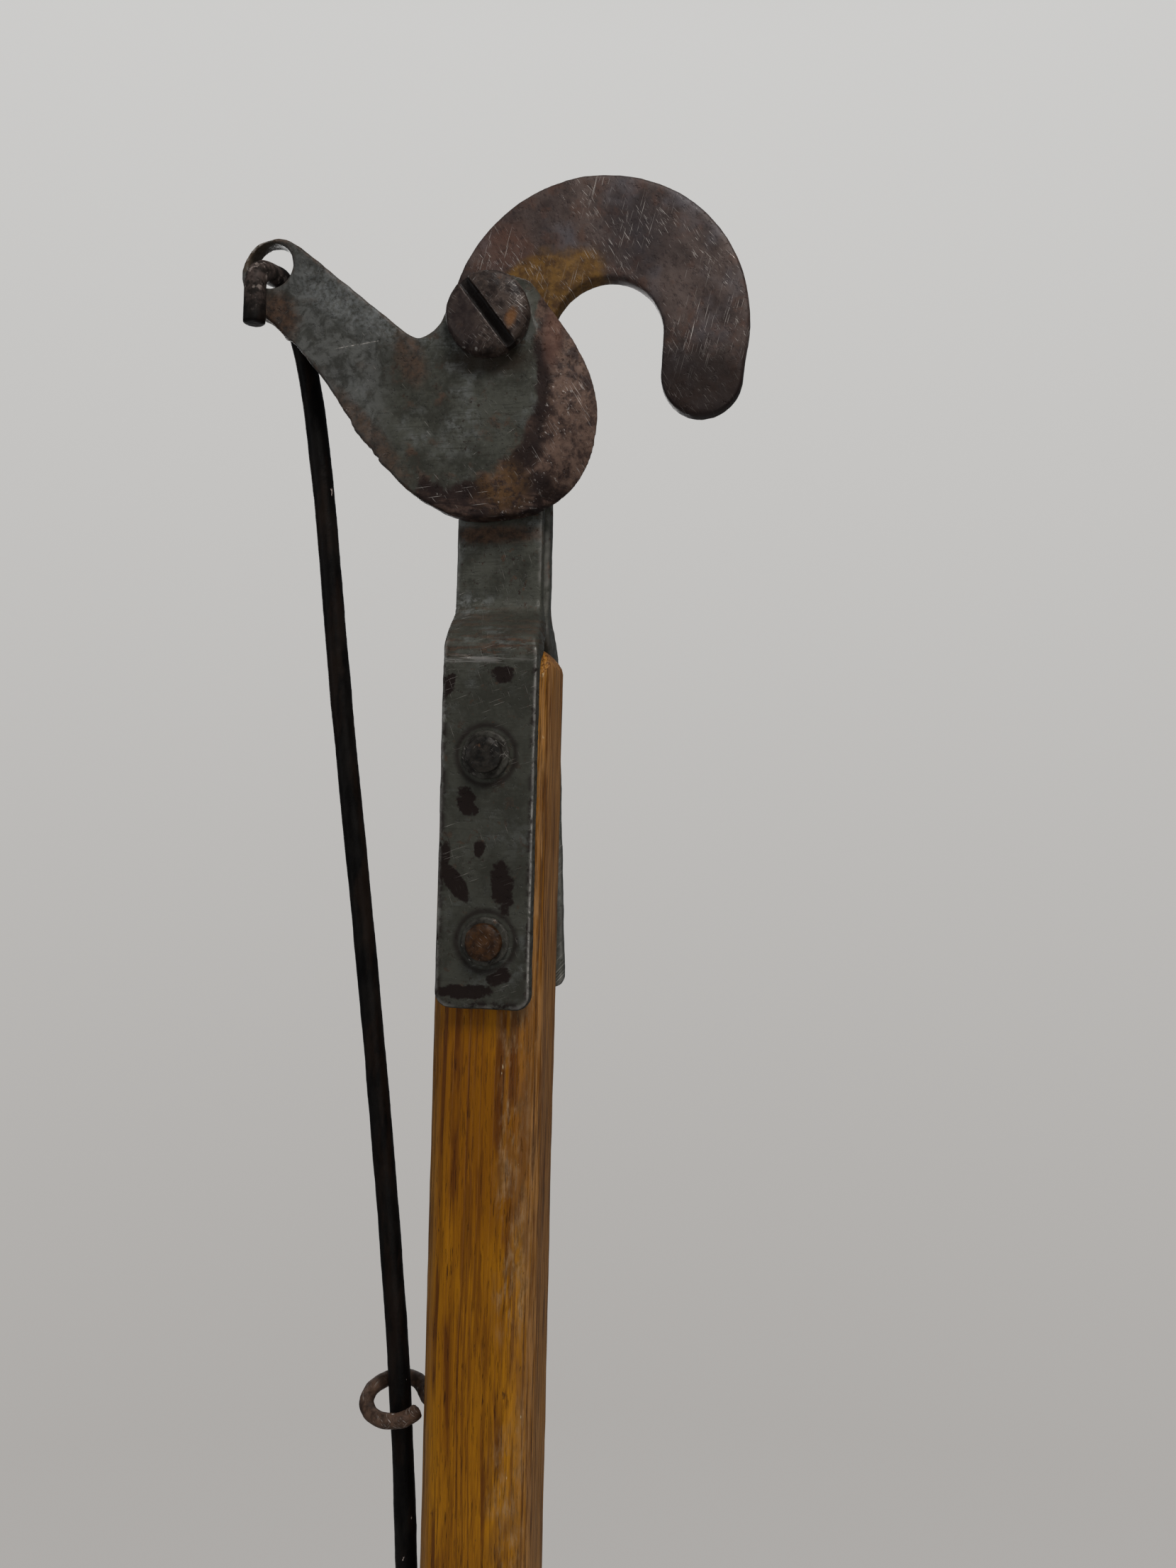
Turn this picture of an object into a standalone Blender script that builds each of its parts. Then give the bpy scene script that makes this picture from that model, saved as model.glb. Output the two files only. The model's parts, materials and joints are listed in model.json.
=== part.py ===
"""Rod-operated long-arm tree pruner: forged hook, bypass blade, pull rod, pole and hand lever.

Frame: the origin is the middle of the pole's butt end, +Z runs up the pole, +X points to the
side the hook's mouth is on, and the front of the tool (blade side) faces -Y.
"""
import math

import bmesh
import bpy
from mathutils import Matrix, Vector

MM = 0.001
gap = 0.3 * MM                          # air left between two pieces that touch

# ---------------------------------------------------------------- overall sizes
overall_length = 1219.0 * MM            # butt of the pole to the top of the hook
hook_rise = 41.1 * MM                   # pivot to the top of the hook
pivot_height = overall_length - hook_rise
pivot_x = -4.0 * MM                     # the pivot sits a little left of the pole's axis

# ---------------------------------------------------------------- pole
pole_width = 30.0 * MM
pole_depth = 30.0 * MM
pole_chamfer = 6.3 * MM
pole_top_drop = 88.0 * MM               # pivot down to the top of the wood
pole_top_half = 4.5 * MM                # the top is a blunt wedge, this far from its middle plane
pole_top_slope = pole_depth / 2 - pole_top_half
butt_chamfer = 1.2 * MM

# ---------------------------------------------------------------- hook plate and front strap
hook_thickness = 5.6 * MM
neck_thickness = 3.8 * MM
hook_face_y = -4.75 * MM                # front face of the hook, the blade slides on it
hook_outer_r = 41.6 * MM
hook_outer_centre = (24.0 * MM, -0.5 * MM)
hook_inner_r = 15.4 * MM
hook_inner_centre = (27.0 * MM, -3.3 * MM)
hook_nose_r = 11.1 * MM
hook_nose_centre = (53.0 * MM, -15.0 * MM)
neck_left = -13.3 * MM
neck_right = 10.9 * MM
step_top = 20.0 * MM                    # below the pivot, where the hook plate thins to the neck
step_bottom = 28.0 * MM

# ---------------------------------------------------------------- straps
strap_thickness = 4.3 * MM
strap_left = -12.2 * MM
strap_right = 13.4 * MM
strap_drop = 184.7 * MM                 # pivot down to the lower end of the front strap
strap_corner_r = 4.0 * MM
joggle_top = 75.5 * MM                  # the straps start to spread here ...
joggle_length = 15.5 * MM               # ... and lie flat on the pole after this length
joggle_lag = 6.0 * MM                   # the inner faces spread this much lower down
neck_back_y = 4.75 * MM
back_strap_skew = 3.9 * MM              # the back strap leans this far to +X at its foot
back_strap_drop = 183.6 * MM
edge_round = 1.1 * MM

# ---------------------------------------------------------------- blade with its lever arm
blade_thickness = 6.0 * MM
blade_back_y = hook_face_y - gap
blade_front_y = blade_back_y - blade_thickness
blade_edge_thickness = 0.9 * MM
bevel_width = 11.0 * MM
boss_r = 13.0 * MM
eye_x = -67.2 * MM                      # the hole the rod hooks into, at the lever's far end
eye_rise = 17.6 * MM
eye_centre_x = -65.8 * MM
eye_centre_rise = 15.2 * MM
rod_r = 3.1 * MM
eye_play = 3.2 * MM                     # the rod hangs loosely in its hole
eye_hole_r = rod_r + eye_play
eye_wall = 3.7 * MM
eye_outer_r = eye_hole_r + eye_wall
eye_lip = 0.7 * MM                      # the hole's rim is worn to a small chamfer

# ---------------------------------------------------------------- pivot screw and nut
screw_head_r = 11.4 * MM
screw_head_height = 5.6 * MM
screw_shank_r = 6.0 * MM
slot_width = 3.1 * MM
slot_depth = 2.6 * MM
slot_angle = math.radians(-52.7)
nut_width = 19.0 * MM
nut_height = 7.0 * MM
screw_tail = 2.0 * MM
pivot_washer_r = 12.5 * MM
pivot_washer_thickness = 1.5 * MM

# ---------------------------------------------------------------- rivets through the straps
rivet_r = 3.9 * MM
rivet_head_r = 4.9 * MM
rivet_stand = 2.6 * MM
rivet_back_head_r = 6.6 * MM
rivet_drops = (118.6 * MM, 166.9 * MM)
rivet_xs = (0.3 * MM, 1.4 * MM)
burr_r = 6.4 * MM
burr_thickness = 1.1 * MM

# ---------------------------------------------------------------- pull rod and its guide
rod_y = 1.5 * MM
rod_face_gap = 0.7 * MM                 # between the rod's hooked ends and the levers' front faces
rod_foot_gap = 0.5 * MM                 # between the rod's foot and the hand lever's back face
rod_bend_r = 5.0 * MM
rod_top_x = -67.6 * MM                  # the rod rises behind the lever's eye here ...
rod_top_rise = 18.2 * MM
rod_tip_x = -69.6 * MM                  # ... leans forward through it, and hangs in front here
rod_tip_rise = 15.0 * MM
rod_tip_drop = 15.6 * MM
rod_foot_tip = 17.0 * MM                # the hooked foot sticks up this far in front of the hand lever
rod_nearest = 6.8 * MM                  # the bow comes this near to the pole's side ...
rod_nearest_drop = 370.0 * MM           # ... here, below the pivot
guide_drop = 297.0 * MM
guide_play = 2.9 * MM
guide_hole_r = rod_r + guide_play
guide_wire_r = 2.1 * MM
guide_air = 0.8 * MM                    # between the screw eye's ring and the pole's side
guide_stand = guide_hole_r + 2 * guide_wire_r + guide_air
guide_tilt = math.radians(18.0)
guide_shank = 23.0 * MM                 # how deep the screw eye goes into the pole

# ---------------------------------------------------------------- hand lever
lever_drop = 930.0 * MM                 # pivot of the blade down to the lever's bolt
lever_arm = 96.9 * MM                   # bolt to the rod's hole
lever_arm_angle = math.radians(23.59)   # above the level, to the left
lever_thickness = 6.0 * MM
lever_boss_r = 15.0 * MM
lever_grip_length = 205.0 * MM
lever_grip_angle = math.radians(48.0)   # between the grip and the pole
lever_grip_width = 22.0 * MM
scale_start = 106.0 * MM                # along the grip, from the bolt to the wooden scales
scale_thickness = 7.0 * MM
scale_rivets = (128.0 * MM, 182.0 * MM)
scale_rivet_r = 2.4 * MM
scale_rivet_head_r = 4.2 * MM
scale_rivet_head = 1.4 * MM
lever_hole_play = 0.9 * MM
lever_hole_wall = 6.0 * MM
bolt_r = 4.0 * MM
bolt_head_r = 9.0 * MM
bolt_head_height = 5.0 * MM
lever_nut_width = 15.0 * MM
lever_nut_height = 6.5 * MM
washer_r = 11.0 * MM
washer_thickness = 1.6 * MM

pole_side = -pole_width / 2
guide_x = pole_side - guide_stand
lever_eye_r = rod_r + lever_hole_play + lever_hole_wall
lever_z = pivot_height - lever_drop
lever_back_y = -pole_depth / 2 - gap - washer_thickness - gap
lever_front_y = lever_back_y - lever_thickness
lever_eye = (-lever_arm * math.cos(lever_arm_angle),
             lever_z + lever_arm * math.sin(lever_arm_angle))


# ================================================================ helpers
def clear_scene():
    for ob in list(bpy.data.objects):
        bpy.data.objects.remove(ob, do_unlink=True)


def finish(name, rgb, metallic, roughness):
    mat = bpy.data.materials.new(name)
    mat.use_nodes = True
    shader = mat.node_tree.nodes["Principled BSDF"]
    shader.inputs["Base Color"].default_value = (*rgb, 1.0)
    shader.inputs["Metallic"].default_value = metallic
    shader.inputs["Roughness"].default_value = roughness
    mat.diffuse_color = (*rgb, 1.0)
    return mat


def make_object(name, bm, mat, origin=(0.0, 0.0, 0.0), smooth_deg=35.0):
    """Turn a bmesh drawn in the tool's frame into an object whose origin is at `origin`."""
    bmesh.ops.remove_doubles(bm, verts=bm.verts, dist=1e-6)
    bmesh.ops.recalc_face_normals(bm, faces=bm.faces)
    bmesh.ops.translate(bm, verts=bm.verts, vec=-Vector(origin))
    mesh = bpy.data.meshes.new(name)
    bm.to_mesh(mesh)
    bm.free()
    mesh.materials.append(mat)
    mesh.polygons.foreach_set("use_smooth", [True] * len(mesh.polygons))
    mesh.set_sharp_from_angle(angle=math.radians(smooth_deg))
    ob = bpy.data.objects.new(name, mesh)
    ob.location = origin
    bpy.context.scene.collection.objects.link(ob)
    return ob


def cut(ob, bm, smooth_deg=35.0, each_way=False):
    """Take the solid in `bm` (drawn in the tool's frame) out of the object."""
    bmesh.ops.recalc_face_normals(bm, faces=bm.faces)
    mesh = bpy.data.meshes.new("cutter")
    bm.to_mesh(mesh)
    bm.free()
    cutter = bpy.data.objects.new("cutter", mesh)
    cutter.hide_render = True
    cutter.display_type = 'WIRE'
    bpy.context.scene.collection.objects.link(cutter)
    mod = ob.modifiers.new("cut", 'BOOLEAN')
    mod.operation = 'DIFFERENCE'
    mod.solver = 'EXACT'
    mod.use_self = each_way
    mod.object = cutter
    bpy.context.view_layer.objects.active = ob
    bpy.ops.object.modifier_apply(modifier=mod.name)
    bpy.data.objects.remove(cutter, do_unlink=True)
    ob.data.polygons.foreach_set("use_smooth", [True] * len(ob.data.polygons))
    ob.data.set_sharp_from_angle(angle=math.radians(smooth_deg))


def gather(*parts):
    """Several separate solids as one."""
    whole = bmesh.new()
    for part in parts:
        mesh = bpy.data.meshes.new("part")
        part.to_mesh(mesh)
        part.free()
        whole.from_mesh(mesh)
        bpy.data.meshes.remove(mesh)
    return whole


def arc(centre, radius, start_deg, end_deg, steps):
    """Points on an arc, measured anticlockwise from +X as the front is seen."""
    points = []
    for i in range(steps + 1):
        a = math.radians(start_deg + (end_deg - start_deg) * i / steps)
        points.append((centre[0] + radius * math.cos(a), centre[1] + radius * math.sin(a)))
    return points


def flowing(points, steps):
    """A smooth line through the points (Catmull-Rom), `steps` pieces to each span."""
    line = []
    last = len(points) - 1
    for i in range(last):
        p0 = points[max(i - 1, 0)]
        p1 = points[i]
        p2 = points[i + 1]
        p3 = points[min(i + 2, last)]
        for k in range(steps):
            t = k / steps
            line.append(tuple(
                0.5 * (2 * b + (c - a) * t + (2 * a - 5 * b + 4 * c - d) * t ** 2
                       + (3 * b - a - 3 * c + d) * t ** 3)
                for a, b, c, d in zip(p0, p1, p2, p3)))
    line.append(tuple(points[-1]))
    return line


def ease(t):
    t = min(max(t, 0.0), 1.0)
    return t * t * (3.0 - 2.0 * t)


def slab(outline, front, back, rows=(), rounding=0.0, sharp=None):
    """A plate from an (x, z) outline; `front` and `back` give y at each (x, z)."""
    bm = bmesh.new()
    bm.faces.new([bm.verts.new((x, 0.0, z)) for x, z in outline])
    for level in rows:
        geom = bm.verts[:] + bm.edges[:] + bm.faces[:]
        bmesh.ops.bisect_plane(bm, geom=geom, dist=1e-7, plane_co=(0, 0, level), plane_no=(0, 0, 1))
    rim = [e for e in bm.edges if e.is_boundary]
    near = bm.verts[:]
    twin = bmesh.ops.duplicate(bm, geom=bm.verts[:] + bm.edges[:] + bm.faces[:])["vert_map"]
    walls = []
    for edge in rim:
        a, b = edge.verts
        walls.append(bm.faces.new((a, b, twin[b], twin[a])))
    for v in near:
        x, z = v.co.x, v.co.z
        v.co.y = front(x, z)
        twin[v].co.y = back(x, z)
    bmesh.ops.recalc_face_normals(bm, faces=bm.faces)
    if rounding > 0.0:
        edges = set()
        for wall in walls:
            for edge in wall.edges:
                a, b = edge.verts
                if abs(a.co.x - b.co.x) + abs(a.co.z - b.co.z) < 1e-7:
                    continue
                if sharp is not None and (sharp(a.co.x, a.co.z) or sharp(b.co.x, b.co.z)):
                    continue
                edges.add(edge)
        bmesh.ops.bevel(bm, geom=list(edges), offset=rounding, segments=2, profile=0.5,
                        affect='EDGES', clamp_overlap=True)
    return bm


def turned(profile, centre, steps=48, closed=False):
    """A round solid about an axis along Y; the profile is (radius, y) pairs."""
    bm = bmesh.new()
    verts = [bm.verts.new((centre[0] + r, y, centre[1])) for r, y in profile]
    pairs = list(zip(verts, verts[1:]))
    if closed:
        pairs.append((verts[-1], verts[0]))
    edges = [bm.edges.new(pair) for pair in pairs]
    bmesh.ops.spin(bm, geom=verts + edges, cent=(centre[0], 0, centre[1]), axis=(0, 1, 0),
                   angle=2 * math.pi, steps=steps, use_merge=True)
    bmesh.ops.remove_doubles(bm, verts=bm.verts, dist=1e-6)
    bmesh.ops.recalc_face_normals(bm, faces=bm.faces)
    return bm


def drill(centre, radius, y0, y1, steps=48):
    return turned([(0, y0), (radius, y0), (radius, y1), (0, y1)], centre, steps)


def square_nut(centre, width, bore, y0, y1, turn):
    """A square nut with a bore, its outer corners eased on the far side."""
    bm = bmesh.new()
    bmesh.ops.create_cube(bm, size=1.0)
    size = Matrix.Diagonal((width, y1 - y0, width, 1.0))
    place = Matrix.Translation((centre[0], (y0 + y1) / 2, centre[1]))
    bmesh.ops.transform(bm, matrix=place @ Matrix.Rotation(turn, 4, 'Y') @ size, verts=bm.verts)
    far = [e for e in bm.edges if all(v.co.y > (y0 + y1) / 2 for v in e.verts)]
    bmesh.ops.bevel(bm, geom=far, offset=0.9 * MM, segments=2, profile=0.5, affect='EDGES')
    return bm, drill(centre, bore, y0 - MM, y1 + MM)


def wire(name, points, radius, mat, origin=(0.0, 0.0, 0.0), resolution=4):
    """A round bar along a line of (x, y, z) points, with flat closed ends."""
    data = bpy.data.curves.new(name + "_line", 'CURVE')
    data.dimensions = '3D'
    data.bevel_depth = radius
    data.bevel_resolution = resolution
    data.use_fill_caps = True
    line = data.splines.new('POLY')
    line.points.add(len(points) - 1)
    for spot, p in zip(line.points, points):
        spot.co = (*p, 1.0)
    holder = bpy.data.objects.new(name + "_line", data)
    bpy.context.scene.collection.objects.link(holder)
    graph = bpy.context.evaluated_depsgraph_get()
    mesh = bpy.data.meshes.new_from_object(holder.evaluated_get(graph))
    bm = bmesh.new()
    bm.from_mesh(mesh)
    bpy.data.objects.remove(holder, do_unlink=True)
    return make_object(name, bm, mat, origin, 50.0)


def bend(corner, start, end, steps=6):
    """Quarter-bend points from `start` to `end` round the inside of `corner`."""
    c, s, e = Vector(corner), Vector(start), Vector(end)
    hub = s + e - c
    points = []
    for i in range(steps + 1):
        a = math.pi / 2 * i / steps
        points.append(hub + (s - hub) * math.cos(a) + (e - hub) * math.sin(a))
    return points


# ================================================================ finishes
def make_finishes():
    return {
        "wood": finish("varnished ash", (0.42, 0.20, 0.07), 0.0, 0.45),
        "painted": finish("worn grey-green paint", (0.12, 0.125, 0.12), 0.4, 0.55),
        "patina": finish("brown iron patina", (0.13, 0.095, 0.09), 0.7, 0.5),
        "dark": finish("dark oiled iron", (0.07, 0.065, 0.065), 0.8, 0.5),
        "rusty": finish("brown rust", (0.16, 0.08, 0.04), 0.4, 0.8),
    }


def rivet_spots():
    """(x, z) of the two rivets that go through both straps and the pole."""
    return [(x, pivot_height - drop) for x, drop in zip(rivet_xs, rivet_drops)]


# ================================================================ pole
def build_pole(look):
    top = pivot_height - pole_top_drop
    bm = bmesh.new()
    bmesh.ops.create_cube(bm, size=1.0)
    size = Matrix.Diagonal((pole_width, pole_depth, top, 1.0))
    bmesh.ops.transform(bm, matrix=Matrix.Translation((0, 0, top / 2)) @ size, verts=bm.verts)
    corners = [e for e in bm.edges if abs(e.verts[0].co.z - e.verts[1].co.z) > top / 2]
    bmesh.ops.bevel(bm, geom=corners, offset=pole_chamfer, segments=4, profile=0.35, affect='EDGES')
    foot = [e for e in bm.edges if all(v.co.z < MM for v in e.verts)]
    bmesh.ops.bevel(bm, geom=foot, offset=butt_chamfer, segments=2, profile=0.5, affect='EDGES')
    for side in (-1, 1):
        geom = bm.verts[:] + bm.edges[:] + bm.faces[:]
        cheek = bmesh.ops.bisect_plane(bm, geom=geom, dist=1e-7, plane_no=(0, side, 1), clear_outer=True,
                                       plane_co=(0, side * pole_depth / 2, top - pole_top_slope))
        rim = [e for e in cheek["geom_cut"] if isinstance(e, bmesh.types.BMEdge)]
        bmesh.ops.contextual_create(bm, geom=rim)
    pole = make_object("pole", bm, look["wood"], smooth_deg=30.0)
    holes = [drill(spot, rivet_r + gap, -pole_depth, pole_depth) for spot in rivet_spots()]
    holes.append(drill((0, lever_z), bolt_r + gap, -pole_depth, pole_depth))
    pilot = drill((0, 0), guide_wire_r + gap, pole_side - 2 * MM, pole_side + guide_shank + gap)
    place = Matrix.Translation((0, rod_y, pivot_height - guide_drop))
    bmesh.ops.transform(pilot, matrix=place @ Matrix.Rotation(-math.pi / 2, 4, 'Z'), verts=pilot.verts)
    cut(pole, gather(*holes, pilot), 30.0)


# ================================================================ iron head
def strap_front(z):
    """y of the front strap's outer face at height z."""
    down = pivot_height - z
    flat = -pole_depth / 2 - gap - strap_thickness
    return hook_face_y + (flat - hook_face_y) * ease((down - joggle_top) / joggle_length)


def strap_inner(z):
    """y of the front strap's inner face, which spreads a little lower than the outer one."""
    down = pivot_height - z
    start = hook_face_y + neck_thickness
    return start + (-pole_depth / 2 - gap - start) * ease((down - joggle_top - joggle_lag) / joggle_length)


def hook_back(x, z):
    down = pivot_height - z
    if down < step_top or x > hook_inner_centre[0]:
        return hook_face_y + hook_thickness
    if down < step_bottom:
        t = (down - step_top) / (step_bottom - step_top)
        return hook_face_y + hook_thickness + (neck_thickness - hook_thickness) * t
    return strap_inner(z)


def joggle_rows():
    lengths = (joggle_top + joggle_length * i / 8 for i in range(9))
    lags = (joggle_top + joggle_lag + joggle_length * i / 8 for i in range(9))
    return sorted({round(pivot_height - d, 6) for d in (*lengths, *lags)})


def strap_drills():
    """The holes that both straps share: the pivot screw's and the two rivets'."""
    reach = pole_depth / 2 + 4 * strap_thickness
    drills = [drill((pivot_x, pivot_height), screw_shank_r + gap, -reach, reach)]
    drills += [drill(spot, rivet_r + gap, -reach, reach) for spot in rivet_spots()]
    return drills


def build_hook_plate(look):
    h = pivot_height
    foot = h - strap_drop
    r = strap_corner_r
    shift = joggle_top + joggle_length
    outline = arc((strap_left + r, foot + r), r, 180, 270, 5)
    outline += arc((strap_right - r, foot + r), r, 270, 360, 5)
    outline += [(strap_right, h - shift), (neck_right, h - joggle_top), (neck_right, h - 30 * MM)]
    inner = (hook_inner_centre[0], h + hook_inner_centre[1])
    outline += arc(inner, hook_inner_r, 190, 0, 28)
    nose = (hook_nose_centre[0], h + hook_nose_centre[1])
    outline += arc(nose, hook_nose_r, 182, 360, 16)
    outer = (hook_outer_centre[0], h + hook_outer_centre[1])
    outline += arc(outer, hook_outer_r, -10, 182, 56)
    outline += [(neck_left, h - 34 * MM), (neck_left, h - joggle_top), (strap_left, h - shift)]
    rows = joggle_rows() + [h - step_top, h - step_bottom]
    bm = slab(outline, lambda x, z: strap_front(z), hook_back, rows, edge_round)
    hook = make_object("hook_plate", bm, look["patina"])
    cut(hook, gather(*strap_drills()))


def build_back_strap(look):
    """The rear plate: from behind the pivot down the back of the pole."""
    h = pivot_height
    foot = h - back_strap_drop
    r = strap_corner_r * 0.8
    shift = joggle_top + joggle_length
    left = neck_left + 1.0 * MM
    right = neck_right + 1.1 * MM
    lean = back_strap_skew
    outline = arc((left + lean + r, foot + r), r, 180, 270, 4)
    outline += arc((right + lean - r, foot + r), r, 270, 360, 4)
    outline += [(right, h - shift), (right, h - 22 * MM)]
    outline += arc((pivot_x, h), boss_r, -15, 195, 28)
    outline += [(left, h - 22 * MM), (left, h - shift)]

    def front(x, z):
        down = h - z
        deep = hook_face_y + hook_thickness + gap
        thin = hook_face_y + neck_thickness + gap
        if down < step_top:
            return deep
        if down < step_bottom:
            return deep + (thin - deep) * (down - step_top) / (step_bottom - step_top)
        return thin + (pole_depth / 2 + gap - thin) * ease((down - joggle_top - joggle_lag) / joggle_length)

    def back(x, z):
        down = h - z
        flat = pole_depth / 2 + gap + strap_thickness
        return neck_back_y + (flat - neck_back_y) * ease((down - joggle_top) / joggle_length)

    rows = joggle_rows() + [h - step_top, h - step_bottom]
    strap = make_object("back_strap", slab(outline, front, back, rows, edge_round * 0.8), look["painted"])
    cut(strap, gather(*strap_drills()), each_way=True)


def build_rivets(look):
    front = -pole_depth / 2 - gap - strap_thickness
    back = -front
    for word, centre in zip(("upper", "lower"), rivet_spots()):
        seat = front - gap - burr_thickness - gap
        head = seat - rivet_stand
        dome = back + gap + 3.0 * MM
        profile = [(0, head), (rivet_r * 0.85, head), (rivet_head_r * 0.97, head + 0.6 * MM),
                   (rivet_head_r, head + 1.2 * MM), (rivet_head_r, seat), (rivet_r, seat),
                   (rivet_r, back + gap), (rivet_back_head_r, back + gap),
                   (rivet_back_head_r * 0.93, back + 1.3 * MM), (rivet_back_head_r * 0.6, dome - 0.5 * MM),
                   (0, dome)]
        make_object("strap_rivet_" + word, turned(profile, centre, 40), look["dark"])
        near = front - gap - burr_thickness
        far = front - gap
        ring = [(rivet_r + gap, near), (burr_r - 0.5 * MM, near), (burr_r, near + 0.4 * MM),
                (burr_r, far), (rivet_r + gap, far)]
        make_object("rivet_burr_" + word, turned(ring, centre, 40, closed=True), look["dark"])


# ================================================================ blade
def blade_course():
    """The blade's outline, anticlockwise from the lever's notch, and its cutting edge."""
    h = pivot_height
    boss = arc((pivot_x, h), boss_r, 88, 172, 12)
    notch = flowing([(-18.0 * MM, h - 0.8 * MM), (-20.6 * MM, h - 3.2 * MM), (-24.4 * MM, h - 4.5 * MM),
                     (-28.0 * MM, h - 2.5 * MM)], 4)
    eye = arc((eye_centre_x, h + eye_centre_rise), eye_outer_r, 52, 188, 16)
    heel = flowing([(-73.6 * MM, h + 6.5 * MM), (-70.6 * MM, h + 3.7 * MM), (-66.6 * MM, h + 1.3 * MM),
                    (-54.2 * MM, h - 11.3 * MM), (-47.3 * MM, h - 20.4 * MM), (-41.4 * MM, h - 29.6 * MM),
                    (-33.0 * MM, h - 39.6 * MM), (-22.7 * MM, h - 48.8 * MM), (-9.5 * MM, h - 54.2 * MM),
                    (4.5 * MM, h - 53.7 * MM)], 4)
    edge = flowing([(9.5 * MM, h - 52.3 * MM), (16.4 * MM, h - 48.0 * MM), (22.3 * MM, h - 40.8 * MM),
                    (25.3 * MM, h - 29.0 * MM), (24.4 * MM, h - 18.5 * MM), (20.3 * MM, h - 8.5 * MM),
                    (13.6 * MM, h + 1.4 * MM), (6.8 * MM, h + 9.8 * MM)], 5)
    return boss + notch + eye + heel, edge


def build_blade(look):
    h = pivot_height
    body, edge = blade_course()
    count = len(edge) - 1
    inner = []
    for i, (x, z) in enumerate(edge):
        x0, z0 = edge[max(i - 1, 0)]
        x1, z1 = edge[min(i + 1, count)]
        away = Vector((x1 - x0, z1 - z0)).normalized()
        deep = bevel_width * math.sin(math.pi * (i + 0.5) / (count + 1)) ** 0.7
        inner.append((x - away.y * deep, z + away.x * deep))
    bm = bmesh.new()
    front_body = [bm.verts.new((x, blade_front_y, z)) for x, z in body]
    back_body = [bm.verts.new((x, blade_back_y, z)) for x, z in body]
    land = [bm.verts.new((x, blade_front_y, z)) for x, z in inner]
    lip = []
    for i, (x, z) in enumerate(edge):
        share = min(1.0, 3.0 * math.sin(math.pi * i / count))
        y = blade_front_y + (blade_thickness - blade_edge_thickness) * share
        lip.append(bm.verts.new((x, y, z)))
    under = [bm.verts.new((x, blade_back_y, z)) for x, z in edge]
    bm.faces.new(front_body + land)
    bm.faces.new(list(reversed(back_body + under)))
    for i in range(count):
        bm.faces.new((land[i], land[i + 1], lip[i + 1], lip[i]))
        bm.faces.new((lip[i], lip[i + 1], under[i + 1], under[i]))
    rim = []
    for i in range(len(body) - 1):
        rim.append(bm.faces.new((front_body[i], front_body[i + 1], back_body[i + 1], back_body[i])))
    bm.faces.new((front_body[-1], land[0], lip[0]))
    bm.faces.new((front_body[-1], lip[0], under[0], back_body[-1]))
    bm.faces.new((land[-1], front_body[0], lip[-1]))
    bm.faces.new((lip[-1], front_body[0], back_body[0], under[-1]))
    bmesh.ops.recalc_face_normals(bm, faces=bm.faces)
    round_edges = set()
    for wall in rim:
        for e in wall.edges:
            a, b = e.verts
            if abs(a.co.x - b.co.x) + abs(a.co.z - b.co.z) > 1e-7:
                round_edges.add(e)
    bmesh.ops.bevel(bm, geom=list(round_edges), offset=0.9 * MM, segments=2, profile=0.5,
                    affect='EDGES', clamp_overlap=True)
    middle = (blade_front_y + blade_back_y) / 2
    blade = make_object("blade_lever", bm, look["painted"], (pivot_x, middle, h))
    cut(blade, drill((pivot_x, h), screw_shank_r + gap, -30 * MM, 30 * MM))
    wide = eye_hole_r + 2 * eye_lip
    hole = [(0, blade_front_y - eye_lip), (wide, blade_front_y - eye_lip),
            (eye_hole_r, blade_front_y + eye_lip), (eye_hole_r, blade_back_y - eye_lip / 2),
            (wide - eye_lip / 2, blade_back_y + eye_lip), (0, blade_back_y + eye_lip)]
    cut(blade, turned(hole, (eye_x, h + eye_rise), 40))


def build_pivot_screw(look):
    centre = (pivot_x, pivot_height)
    seat = blade_front_y - gap
    top = seat - screw_head_height
    washer_near = neck_back_y + gap
    near = washer_near + pivot_washer_thickness + gap
    tail = near + nut_height + screw_tail
    profile = [(0, top), (screw_head_r * 0.62, top + 0.25 * MM), (screw_head_r * 0.86, top + 1.0 * MM),
               (screw_head_r * 0.97, top + 2.1 * MM), (screw_head_r, top + 3.2 * MM), (screw_head_r, seat),
               (screw_shank_r, seat), (screw_shank_r, tail - 0.8 * MM), (screw_shank_r - 0.8 * MM, tail),
               (0, tail)]
    screw = make_object("pivot_screw", turned(profile, centre, 56), look["patina"])
    slot = bmesh.new()
    bmesh.ops.create_cube(slot, size=1.0)
    size = Matrix.Diagonal((screw_head_r * 3, slot_depth * 2, slot_width, 1.0))
    place = Matrix.Translation((centre[0], top, centre[1]))
    bmesh.ops.transform(slot, matrix=place @ Matrix.Rotation(-slot_angle, 4, 'Y') @ size, verts=slot.verts)
    cut(screw, slot)
    ring = [(screw_shank_r + gap, washer_near), (pivot_washer_r, washer_near),
            (pivot_washer_r, near - gap), (screw_shank_r + gap, near - gap)]
    make_object("pivot_washer", turned(ring, centre, 44, closed=True), look["rusty"])
    nut, bore = square_nut(centre, nut_width, screw_shank_r + gap, near, near + nut_height, math.radians(8))
    nut_ob = make_object("pivot_nut", nut, look["patina"])
    cut(nut_ob, bore)


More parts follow.
